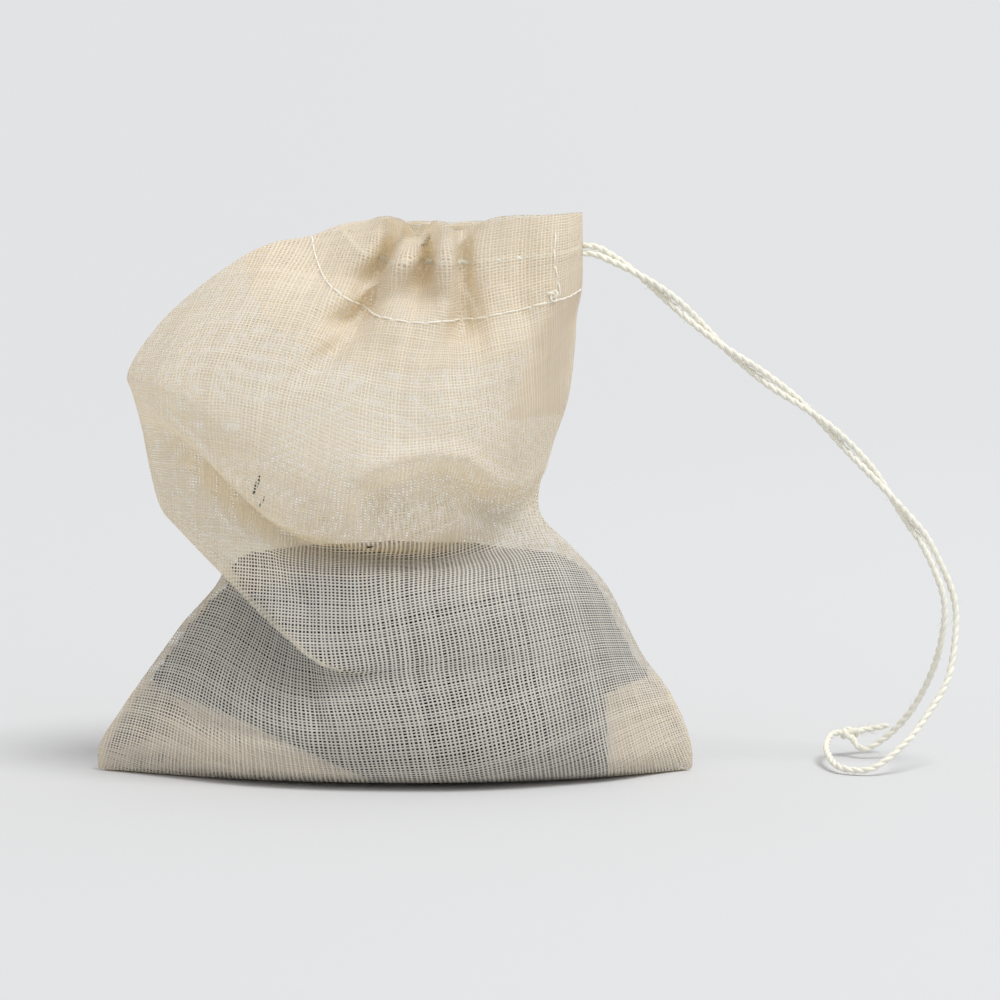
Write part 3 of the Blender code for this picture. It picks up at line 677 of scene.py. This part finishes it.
def pair_routes():
    """Both strands from the hem to where they part, one loosely round the other."""
    start = place(PAIR_ROUTE[0])
    route = [place(point) - (start - np.array(CORD_EXIT)) for point in PAIR_ROUTE]
    middle = evenly(smooth_through(route, ROUTE_DETAIL), PAIR_STEPS)
    along = unit(np.gradient(middle, axis=0))
    deep = np.array((0.0, 1.0, 0.0))
    up = unit(np.cross(along, deep))
    turn = 2 * math.pi * PAIR_TURNS * np.arange(PAIR_STEPS + 1)[:, None] / PAIR_STEPS
    aside = (up * np.cos(turn) + deep * np.sin(turn)) * sizes().strand_pitch / 2
    return middle + aside, middle - aside


def strand_route(pair, fall, knot):
    """One strand's whole free length, up to the knot."""
    curve = smooth_through([*pair, *(place(point) for point in fall), knot], ROUTE_DETAIL)
    kept = curve[size_of(curve - knot)[:, 0] > sizes().knot_diameter * 0.3]
    return evenly(kept, round(lengths_along(kept)[-1] / ROUTE_STEP))


class TEABAG_OT_stage(bpy.types.Operator):
    """Add the camera, the pale floor with its painted shade towards the back and the left, and the soft
    daylight
    """
    bl_idname = "teabag.stage"
    bl_label = "Stage"

    def execute(self, context):
        scene = context.scene
        camera = bpy.data.cameras.new("front_camera")
        camera.sensor_width = FILM_WIDTH
        camera.lens = FILM_WIDTH * VIEW_DISTANCE / VIEW_WIDTH
        camera.clip_start = 0.01
        holder = bpy.data.objects.new("front_camera", camera)
        across, up = VIEW_CENTRE
        holder.location = (
            across, -VIEW_DISTANCE * math.cos(VIEW_TILT), up + VIEW_DISTANCE * math.sin(VIEW_TILT))
        holder.rotation_euler = (math.pi / 2 - VIEW_TILT, 0, 0)
        scene.collection.objects.link(holder)
        scene.camera = holder
        scene.view_settings.view_transform = "Standard"

        bm = bmesh.new()
        bmesh.ops.create_grid(bm, x_segments=1, y_segments=1, size=FLOOR_SIZE)
        mesh = bpy.data.meshes.new("floor")
        bm.to_mesh(mesh)
        bm.free()
        floor = bpy.data.objects.new("floor", mesh)
        scene.collection.objects.link(floor)
        material, w = new_material("pale_table_painted_shade")
        where = w.add("ShaderNodeTexCoord").outputs["Object"]
        across, deep, _ = w.add("ShaderNodeSeparateXYZ", {"Vector": where}).outputs
        # Painted shade: the table's colour darkens towards the back and the left
        far = w.between(deep, *FAR_SIDE)
        left = w.between(across, *LEFT_SIDE)
        base = tuple(colours().floor)
        tint = w.mixed(far, base, tuple(part * FAR_PAINTED_SHADE for part in base))
        left = w.maths("MULTIPLY", left, LEFT_PAINTED_SHADE_SHARE)
        tint = w.mixed(left, tint, tuple(part * LEFT_PAINTED_SHADE for part in base))
        table = w.add("ShaderNodeBsdfPrincipled", {
            "Base Color": tint, "Roughness": 0.9, "Specular IOR Level": 0.0})
        w.add("ShaderNodeOutputMaterial", {"Surface": table.outputs[0]})
        mesh.materials.append(material)

        world = bpy.data.worlds.new("daylight")
        world.use_nodes = True
        sky = world.node_tree.nodes["Background"].inputs
        sky["Color"].default_value = (1.0, 1.0, 1.0, 1.0)
        sky["Strength"].default_value = DAYLIGHT_STRENGTH
        scene.world = world
        lamp = bpy.data.lights.new("window", "SUN")
        lamp.energy = WINDOW_STRENGTH
        lamp.angle = WINDOW_SPREAD
        window = bpy.data.objects.new("window", lamp)
        window.rotation_euler = Vector(WINDOW_DIRECTION).to_track_quat("Z", "Y").to_euler()
        scene.collection.objects.link(window)
        return {"FINISHED"}


class TEABAG_OT_drawstring(bpy.types.Operator):
    """Add the drawstring: two strands outside the hem, their knot and the run in the hem"""
    bl_idname = "teabag.drawstring"
    bl_label = "Drawstring"

    def execute(self, context):
        size = sizes()
        cotton = cotton_material("ivory_string", colours().cord, 1.0)
        knot_at = place(KNOT_ROUTE[0])
        upper, lower = pair_routes()
        routes = {
            "drawstring_right": (strand_route(upper, RIGHT_FALL, knot_at), "drawstring_right_strand"),
            "drawstring_left": (strand_route(lower, LEFT_FALL, knot_at), "drawstring_left_strand"),
        }
        knot = self.knot(cotton)
        for index, (name, (route, node)) in enumerate(routes.items()):
            bm = bmesh.new()
            add_twisted(bm, route, size.strand_diameter, size.ply_twist, index * 1.3)
            add_fuzz(bm, route, size.strand_diameter, FIBRES_PER_STRAND, 11 + index)
            strand = finish_piece(name, bm, cotton, [node])
        self.casing_run(cotton)
        return {"FINISHED"}

    def casing_run(self, cotton):
        """The run inside the hem, from the opening round the mouth and back to it"""
        size = sizes()
        around = []
        for rows in cloth_panels():
            row = seam_row() + round(CASING_MIDDLE * (rows.shape[0] - 1 - seam_row()))
            inside = rows - outward(rows) * size.strand_diameter * CASING_DEPTH
            around.append(inside[row, SEAM_MARGIN:-SEAM_MARGIN])
        ring = evenly(np.concatenate(around[::-1]), CASING_STEPS)
        for _ in range(CASING_SMOOTHING):
            ring[1:-1] = (ring[:-2] + ring[1:-1] * 2 + ring[2:]) / 4
        bm = bmesh.new()
        add_twisted(bm, ring, size.strand_diameter * CASING_DIAMETER, size.ply_twist)
        finish_piece("drawstring_in_hem", bm, cotton, ["drawstring_casing_run"])

    def knot(self, cotton):
        """Both strands tied over, and their two short tails side by side"""
        size = sizes()
        route = [place(point) for point in KNOT_ROUTE]
        centre = route[0]
        ahead = unit(route[1] - centre)
        side = unit(np.cross(ahead, (0, 0, 1.0)))
        loop = overhand(centre, ahead, side, size.knot_diameter)
        bm = bmesh.new()
        add_tube(bm, loop, size.strand_diameter * KNOT_RADIUS, closed=True)
        for index, shift in enumerate((-TAIL_ASIDE, TAIL_ASIDE)):
            tail = smooth_through(route, ROUTE_DETAIL) + side * shift * size.strand_diameter
            tail[:, 2] += 0.0002 * index
            add_twisted(bm, tail, size.strand_diameter * TAIL_DIAMETER, size.ply_twist, index)
            add_fuzz(bm, evenly(tail, 12), size.strand_diameter, FIBRES_PER_TAIL, 31 + index)
        return finish_piece("drawstring_knot_tied", bm, cotton, ["drawstring_knot"])


def pressed(rows, creases):
    """A panel with its soft folds raised and its creases sunk along its own normals."""
    seen = front_view(rows)
    move = np.zeros(rows.shape[:2])
    for points, width, depth in creases:
        line = smooth_through([(x, y, 0) for x, y in points], 6)[:, :2]
        run = lengths_along(np.concatenate((line, line[:, :1] * 0), 1))
        nearest, at = np.full(move.shape, 1e9), np.zeros(move.shape)
        for k, (start, end) in enumerate(zip(line, line[1:])):
            way = end - start
            share = np.clip(((seen - start) @ way) / max(way @ way, 1e-9), 0, 1)
            distance = np.sqrt(((seen - start - share[..., None] * way) ** 2).sum(-1))
            closer = distance < nearest
            nearest = np.where(closer, distance, nearest)
            at = np.where(closer, (run[k] + share * (run[k + 1] - run[k])) / run[-1], at)
        fade = np.clip(np.minimum(at, 1 - at) * 5, 0, 1)
        fade = np.where(nearest > width * 0.5, fade * 0.999, fade)
        move += depth * np.exp(-(nearest / width) ** 2) * (0.15 + 0.85 * fade)
    return rows + outward(rows) * move[..., None] / 1000


# Cloth turned in behind the front panel, cut in the front view: (lowest and highest of the
# panel's lines that it lies between, its layer, its cuts in millimetres)
INNER_FOLDS = [
    (0, 5, 1, [((-34.5, 12.8), (-21, 7.6)), ((-21, 7.6), (-9.5, 2.4))]),
    (0, 5, 2, [((-34.5, 11.8), (-21, 6.8)), ((-21, 6.8), (-11.5, 2.6))]),
    (0, 5, 1, [((27.7, -1), (27.2, 10.4)), ((27.2, 10.4), (34.7, 13))]),
    (0, 5, 2, [((27.7, -1), (27.2, 10.4)), ((27.2, 10.4), (34.7, 13))]),
    (11, 15, 1, [((14.6, 46.4), (19.6, 59.6)), ((25, 47.2), (13, 45.2))]),
    (11, 15, 2, [((14.9, 46.4), (19.9, 59.6)), ((25, 47.2), (13, 45.4))]),
]
FOLD_GAP = 0.0004

# Creases and ridges of the front in the front view: (points in millimetres, width, rise)
FRONT_FOLDS = [
    ([(-10.8, 15.2), (-10.3, 10.7), (-9.4, 4.8)], 0.8, -0.45),
    ([(-31.6, 10.4), (-24.4, 6.4), (-11.3, 3.8)], 0.8, -0.35),
    ([(0, 69), (-2.6, 64), (-5.4, 59), (-7.6, 55.8)], 1.6, -0.35),
    ([(2.0, 69.6), (0.9, 63.5), (-0.6, 57.5), (-2, 54)], 1.7, 0.25),
    ([(4.2, 70.5), (4.0, 66.3), (4.6, 62.5)], 1.1, -0.25),
    ([(5.6, 71.6), (6.8, 68), (6.6, 62.7), (5.8, 57)], 1.2, 0.45),
    ([(8.8, 70.6), (8.9, 65.3), (8.7, 59), (7.8, 54.5)], 1.1, -0.4),
    ([(10.5, 70.5), (10.6, 62)], 0.8, 0.45),
    ([(13.6, 71), (13.8, 61.5)], 0.8, -0.25),
    ([(16.4, 71), (16.4, 61.5)], 0.9, -0.2),
    ([(-7.2, 35.5), (-4.8, 37.6), (-1.7, 39.8), (4.8, 41.2), (8.8, 40.8), (11.2, 38.8), (14, 37.2),
      (17.6, 38.4), (20, 41)], 1.3, 1.1),
    ([(-7, 32), (-3, 34), (1, 36), (5, 37.2), (9, 36.6), (12, 34.8), (16, 34.6),
      (18.5, 36.5)], 2.0, -3.0),
    ([(5.6, 55), (6.6, 50), (6.0, 43)], 2.2, 0.35),
    ([(19.5, 59), (17.5, 53), (14.8, 47), (13.5, 42)], 1.6, -0.35),
    ([(0.5, 57.5), (-2.0, 52), (-4.5, 47)], 1.6, -0.35),
    ([(-8.5, 56), (-13, 50), (-16.5, 45)], 2.0, -0.3),
    ([(-3.5, 56), (-8.0, 51), (-12.5, 47)], 1.6, 0.25),
    ([(11.5, 58), (11.2, 52), (10.0, 46)], 1.6, -0.25),
    ([(-21, 36), (-14, 29.5), (-7, 27.2), (1, 26.8)], 1.3, 0.2),
    ([(-15.5, 30), (-12, 24), (-10.2, 19)], 1.0, -0.3),
]


FALL_BLEND = 4.0  # square millimetres over which one fall of the weft gives way to the next

# Where each panel and each inner fold starts on the thread map, so that their threads differ
PANEL_SHIFT = 0.2
FIRST_FOLD_SHIFT = 0.4
FOLD_SHIFT = 0.1


def weft_fall(points):
    """How steeply the weft falls to the right at each point of the front, in radians."""
    seen = front_view(points)
    total, weights = np.zeros(seen.shape[:2]), np.zeros(seen.shape[:2])
    for across, up, fall in WEFT_FALL:
        weight = 1 / (((seen - (across, up)) ** 2).sum(-1) + FALL_BLEND) ** 1.5
        total += weight * math.radians(fall)
        weights += weight
    return total / weights


def solve_along(rows, ways):
    """A value at each point of a panel that grows by a metre for each metre along the ways."""
    gap_across = np.diff(rows, axis=1)
    gap_up = np.diff(rows, axis=0)
    want_across = (gap_across * (ways[:, 1:] + ways[:, :-1]) / 2).sum(-1)
    want_up = (gap_up * (ways[1:] + ways[:-1]) / 2).sum(-1)

    def spread(value_across, value_up):
        result = np.zeros(rows.shape[:2])
        result[:, 1:] += value_across
        result[:, :-1] -= value_across
        result[1:] += value_up
        result[:-1] -= value_up
        return result

    def shape(value):
        return spread(np.diff(value, axis=1), np.diff(value, axis=0))

    middle = rows.shape[1] // 2
    value = np.concatenate((np.zeros((rows.shape[0], 1)), np.cumsum(want_across, 1)), 1)
    value -= value[:, middle:middle + 1]
    value += np.concatenate(([0], np.cumsum(want_up[:, middle])))[:, None]
    left = spread(want_across, want_up) - shape(value)
    step, power = left.copy(), (left * left).sum()
    for _ in range(MAP_ROUNDS):
        moved = shape(step)
        share = power / max((step * moved).sum(), 1e-30)
        value += share * step
        left -= share * moved
        fresh = (left * left).sum()
        if fresh < MAP_NEAR_ENOUGH:
            break
        step = left + step * fresh / power
        power = fresh
    return value


def thread_map(rows, front):
    """Where each point of a panel lies on the flat cloth: across and up, in metres."""
    normal = outward(rows)
    across = unit(np.gradient(rows, axis=1))
    across = unit(across - normal * (across * normal).sum(-1, keepdims=True))
    if front:
        fall = weft_fall(rows)
        up = np.array((0.0, math.sin(VIEW_TILT), math.cos(VIEW_TILT)))
        wanted = np.cos(fall)[..., None] * np.array((1.0, 0, 0)) - np.sin(fall)[..., None] * up
        wanted = wanted - normal * (wanted * normal).sum(-1, keepdims=True)
        weight = np.clip((size_of(wanted) - 0.25) / 0.5, 0, 1)
        weight *= np.clip(-normal[..., 1:2] * 3, 0, 1)
        across = unit(unit(wanted) * weight + across * (1 - weight))
    upward = np.cross(normal, across)
    return solve_along(rows, across), solve_along(rows, upward)


def add_panel(bm, rows, across, up, shift):
    """One panel of cloth from a grid, its thread map kept in its own UV map."""
    layer = bm.loops.layers.uv.get("threads") or bm.loops.layers.uv.new("threads")
    high, wide = rows.shape[:2]
    made = bmesh.ops.create_grid(bm, x_segments=wide - 1, y_segments=high - 1, size=0.5)["verts"]
    faces = {face for vert in made for face in vert.link_faces}
    spots = {}
    for vert in made:
        column = round((vert.co.x + 0.5) * (wide - 1))
        row = round((vert.co.y + 0.5) * (high - 1))
        spots[vert] = (float(across[row, column]) + shift, float(up[row, column]))
        vert.co = rows[row, column]
    for face in faces:
        for loop in face.loops:
            loop[layer].uv = spots[loop.vert]


def hem_layer(rows, across, up):
    """The hem's turned-in layer, a little inside the outer one, with its seam's allowance."""
    normal = outward(rows)
    top = rows.shape[0] - 1
    down = seam_row() - round(TURNED_IN_BELOW_SEAM * (top - seam_row()))
    inner, inner_across, inner_up = [], [], []
    for k in range(1, HEM_ROWS + 1):
        share = k / HEM_ROWS
        at = top - (top - down) * share
        low = int(at)
        part = at - low
        high = min(low + 1, top)
        casing = (top - at) / (top - seam_row())
        gap = LAYER_GAP + STRING_GAP * math.exp(-((casing - CASING_MIDDLE) / STRING_BAND) ** 2)
        point = rows[low] * (1 - part) + rows[high] * part
        way = unit(normal[low] * (1 - part) + normal[high] * part)
        inner.append(point - way * gap * min(1, k / 2))
        inner_across.append(across[low] * (1 - part) + across[high] * part)
        inner_up.append(2 * up[top] - (up[low] * (1 - part) + up[high] * part))
    return np.array(inner), np.array(inner_across), np.array(inner_up)


def view_point(across, up):
    """The point of the middle plane that the front view sees at so many millimetres."""
    return np.array((across, 0.0, up / math.cos(VIEW_TILT))) / 1000


def add_inner_fold(bm, rows, across, up, shift, cuts):
    """Cloth turned in behind part of a panel. Each cut keeps one side of its line."""
    fold = bmesh.new()
    add_panel(fold, rows, across, up, shift)
    sight = (0.0, math.cos(VIEW_TILT), -math.sin(VIEW_TILT))
    for start, end in cuts:
        start, end = view_point(*start), view_point(*end)
        bmesh.ops.bisect_plane(
            fold, geom=[*fold.verts, *fold.edges, *fold.faces], plane_co=start,
            plane_no=np.cross(end - start, sight), clear_outer=True)
    mesh = bpy.data.meshes.new("fold")
    fold.to_mesh(mesh)
    fold.free()
    bm.from_mesh(mesh)
    bpy.data.meshes.remove(mesh)


def cloth_panels():
    """Both panels of the bag, with the folds of the front."""
    return pressed(panel_rows(True), FRONT_FOLDS), panel_rows(False)


def tree_of(panels):
    """The panels as one surface to measure from."""
    bm = bmesh.new()
    for rows in panels:
        add_panel(bm, rows, rows[..., 0], rows[..., 2], 0.0)
    tree = BVHTree.FromBMesh(bm)
    bm.free()
    return tree


class TEABAG_OT_bag(bpy.types.Operator):
    """Add the bag: one cloth of two panels with a turned-in hem"""
    bl_idname = "teabag.bag"
    bl_label = "Muslin bag"

    def execute(self, context):
        muslin = muslin_material()
        bm = bmesh.new()
        for index, rows in enumerate(cloth_panels()):
            across, up = thread_map(rows, index == 0)
            inner = hem_layer(rows, across, up)
            whole = [np.concatenate(pair) for pair in zip((rows, across, up), inner)]
            add_panel(bm, *whole, index * PANEL_SHIFT)
            if index == 0:
                for number, (first, last, layer, cuts) in enumerate(INNER_FOLDS):
                    part = slice(line_row(first), line_row(last) + 1)
                    behind = rows[part] - outward(rows[part]) * FOLD_GAP * layer
                    shift = FIRST_FOLD_SHIFT + FOLD_SHIFT * number
                    add_inner_fold(bm, behind, across[part], up[part], shift, cuts)
        bmesh.ops.remove_doubles(bm, verts=bm.verts, dist=0.000002)
        bag = finish_piece("muslin_cloth", bm, muslin, ["muslin_bag"])
        return {"FINISHED"}


def along_curve(curve, values, stops):
    """Values kept along a curve, read at lengths from its start."""
    run = lengths_along(curve)
    return np.stack([np.interp(stops, run, values[:, axis]) for axis in range(3)], 1)


def add_stitches(bm, route, normals, stitch, thread):
    """A row of stitches that dips into the cloth between them."""
    share = np.array((0.06, 0.22, 0.5, 0.78, 0.94))
    lift = np.array((-0.5, 0.35, 0.6, 0.35, -0.5))[:, None] * thread
    for k in range(int(lengths_along(route)[-1] / stitch)):
        stops = (k + share) * stitch
        points = along_curve(route, route, stops) + unit(along_curve(route, normals, stops)) * lift
        add_tube(bm, points, thread / 2)


def overhand(centre, ahead, side, across):
    """The closed line of a small overhand knot."""
    turn = np.linspace(0, 2 * math.pi, 60)[:-1, None]
    rise = np.cross(ahead, side)
    return centre + across / 7.2 * (
        ahead * (np.sin(turn) + 2 * np.sin(2 * turn)) + side * (np.cos(turn) - 2 * np.cos(2 * turn))
        + rise * np.sin(3 * turn) * 1.2)


THREAD_END_ACROSS = 0.0214
THREAD_KNOT = 0.0018


class TEABAG_OT_stitching(bpy.types.Operator):
    """Add the sewing thread: the hem's seam, its end at the right and the thread's knot"""
    bl_idname = "teabag.stitching"
    bl_label = "Stitching"

    def execute(self, context):
        size = sizes()
        bm = bmesh.new()
        for index, rows in enumerate(cloth_panels()):
            normals = outward(rows)
            seam = seam_row()
            add_stitches(bm, rows[seam], normals[seam], size.stitch, size.thread_diameter)
            if index == 0:
                column = int(np.argmin(np.abs(rows[seam, :, 0] - THREAD_END_ACROSS)))
                end = slice(seam + 1, rows.shape[0] - 1)
                add_stitches(
                    bm, rows[end, column], normals[end, column], size.stitch, size.thread_diameter)
                spot = seam + 2, column - 4
                tied = rows[spot] + normals[spot] * size.thread_diameter
                knot = overhand(tied, np.array((0.94, 0, 0.34)), np.array((-0.34, 0, 0.94)), THREAD_KNOT)
                add_tube(bm, knot, size.thread_diameter / 2, closed=True)
        thread = cotton_material("ivory_thread", colours().thread, 1.5)
        finish_piece("hem_stitches", bm, thread, ["hem_stitch_thread"])
        return {"FINISHED"}


# Bits that cling inside the front: (across, up) in the front view in millimetres, length and
# width in millimetres, and lean in degrees
CLINGING_BITS = [
    (-17.3, 37.3, 2.6, 0.5, 70), (-16.6, 35.2, 1.6, 0.35, 60), (-2.6, 29.6, 1.7, 0.5, 25),
    (-10, 59.6, 0.35, 0.25, 0),
]
PETALS = 26
MOUND_AXIS = 0.001  # across
TEA_CLEARANCE = 0.001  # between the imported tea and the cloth
TEA_REACH = 0.016  # tea farther than this from the cloth stays where it is
TEA_FADE = 0.006
LUMP_HEIGHT = 0.0002
LUMPS = 420  # how close together the lumps lie
FINE_LUMPS = 1100
MOUND_CUTS = 3
MOUND_DEPTH_PULL = 1.6  # how much more the tea spreads to the front and back
LEAF_HEIGHTS = (0.002, 0.028)
LEAF_LENGTHS = (0.0006, 0.0018)
LEAF_WIDTHS = (0.0002, 0.0005)
LEAF_LIFT = 0.0003
BEHIND_CLOTH = 0.0008


class TEABAG_OT_tea(bpy.types.Operator):
    """Add the tea: a packed mound and loose leaves against the cloth"""
    bl_idname = "teabag.tea"
    bl_label = "Tea"

    def execute(self, context):
        tint = colours()
        tree = tree_of(cloth_panels())
        packed = leaf_material("packed_tea", tint.tea, tint.tea_dust, 420.0)
        mound = finish_piece("tea_mound", self.mound(tree), packed, ["tea_leaves"])
        self.leaves(tree, mound)
        return {"FINISHED"}

    def mound(self, tree):
        """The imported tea: the form of its solid, made finer and lumpy and spread to the cloth"""
        bm = bmesh.new()
        bm.from_mesh(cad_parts["tea_leaves"].data)
        bmesh.ops.remove_doubles(bm, verts=bm.verts, dist=0.00002)
        bmesh.ops.subdivide_edges(bm, edges=bm.edges, cuts=MOUND_CUTS, use_grid_fill=True)
        bmesh.ops.smooth_vert(
            bm, verts=bm.verts, factor=0.5, use_axis_x=True, use_axis_y=True, use_axis_z=True)
        bm.normal_update()
        for vert in bm.verts:
            lump = noise.noise(vert.co * LUMPS) + 0.5 * noise.noise(vert.co * FINE_LUMPS)
            way = Vector((vert.co.x - MOUND_AXIS, vert.co.y * MOUND_DEPTH_PULL, 0)).normalized()
            room = (tree.ray_cast(vert.co, way)[3] or 0) - TEA_CLEARANCE
            spread = room * min(max((TEA_REACH - room) / TEA_FADE, 0), 1)
            vert.co += way * max(spread, 0) + vert.normal * (lump * LUMP_HEIGHT - LUMP_HEIGHT / 2)
        return bm

    def leaves(self, tree, mound):
        """Curled leaf bits over the mound, and a few orange petals among them"""
        rng = random.Random(5)
        ground = BVHTree.FromPolygons(
            [vert.co for vert in mound.data.vertices], [face.vertices for face in mound.data.polygons])
        tint = colours()
        kinds = [("tea_leaf_bits", sizes().leaves, ("tea_leaf", tint.tea, tint.tea_dust, 900.0)),
                 ("petal_bits", PETALS, ("dried_petal", tint.petal, tint.tea_dust, 500.0))]
        for name, count, look in kinds:
            bm = bmesh.new()
            for _ in range(count):
                turn = rng.uniform(0, 2 * math.pi)
                height = rng.uniform(*LEAF_HEIGHTS)
                way = Vector((math.cos(turn), math.sin(turn) * 0.5, 0)).normalized()
                start = Vector((0.002, 0, height)) + way * 0.06
                hit, normal, _, _ = ground.ray_cast(start, -way)
                if hit is None:
                    continue
                long, wide = rng.uniform(*LEAF_LENGTHS), rng.uniform(*LEAF_WIDTHS)
                turned = Vector([rng.uniform(-1, 1) for _ in range(3)])
                lifted = hit + normal * rng.uniform(0.0, LEAF_LIFT)
                self.flake(bm, lifted, normal, turned, long, wide, rng.uniform(0, 0.5))
            if name == "tea_leaf_bits":
                self.clinging(bm, tree)
            finish_piece(name, bm, leaf_material(*look))

    def clinging(self, bm, tree):
        """Bits caught on the inside of the cloth above the tea"""
        sight = Vector((0.0, math.cos(VIEW_TILT), -math.sin(VIEW_TILT)))
        for across, up, long, wide, lean in CLINGING_BITS:
            start = Vector(view_point(across, up)) - sight * 0.1
            hit = tree.ray_cast(start, sight)[0]
            if hit is None:
                raise RuntimeError(f"No cloth in front of the bit at {across}, {up}")
            turned = Vector((-math.sin(math.radians(lean)), 0, math.cos(math.radians(lean))))
            inside = hit + sight * BEHIND_CLOTH
            self.flake(bm, inside, -sight, turned, long / 1000, wide / 1000, 0.2)

    def flake(self, bm, at, normal, turned, long, wide, curl):
        """One small curled leaf bit"""
        side = unit(np.cross(normal, turned))
        other = np.cross(normal, side)
        made = bmesh.ops.create_grid(bm, x_segments=4, y_segments=2, size=0.5)["verts"]
        for vert in made:
            x, y = vert.co.x * 2, vert.co.y * 2
            taper = 1 - 0.6 * x * x
            lift = y * y * wide * 0.4 - curl * x * x * long * 0.3
            vert.co = at + Vector(side * x * long / 2 + other * y * wide / 2 * taper) + normal * lift


class TEABAG_PT_panel(bpy.types.Panel):
    """Tea bag builder"""
    bl_idname = "TEABAG_PT_panel"
    bl_label = "Tea bag"
    bl_space_type = "VIEW_3D"
    bl_region_type = "UI"
    bl_category = "Tea bag"

    def draw(self, context):
        for group in (context.scene.tea_bag_sizes, context.scene.tea_bag_colours):
            box = self.layout.box()
            for name in group.__annotations__:
                box.prop(group, name)
        for operator in OPERATORS:
            self.layout.operator(operator.bl_idname)


OPERATORS = (
    TEABAG_OT_stage,
    TEABAG_OT_drawstring,
    TEABAG_OT_bag,
    TEABAG_OT_stitching,
    TEABAG_OT_tea,
)
CLASSES = (TeaBagSizes, TeaBagColours, *OPERATORS, TEABAG_PT_panel)


def register():
    for each in CLASSES:
        bpy.utils.register_class(each)
    bpy.types.Scene.tea_bag_sizes = bpy.props.PointerProperty(type=TeaBagSizes)
    bpy.types.Scene.tea_bag_colours = bpy.props.PointerProperty(type=TeaBagColours)


def unregister():
    del bpy.types.Scene.tea_bag_colours
    del bpy.types.Scene.tea_bag_sizes
    for each in reversed(CLASSES):
        bpy.utils.unregister_class(each)


def main():
    register()
    weave_group()
    fibre_group()
    bpy.ops.teabag.stage()
    bpy.ops.teabag.drawstring()
    bpy.ops.teabag.tea()
    bpy.ops.teabag.bag()
    bpy.ops.teabag.stitching()


if __name__ == "__main__":
    main()
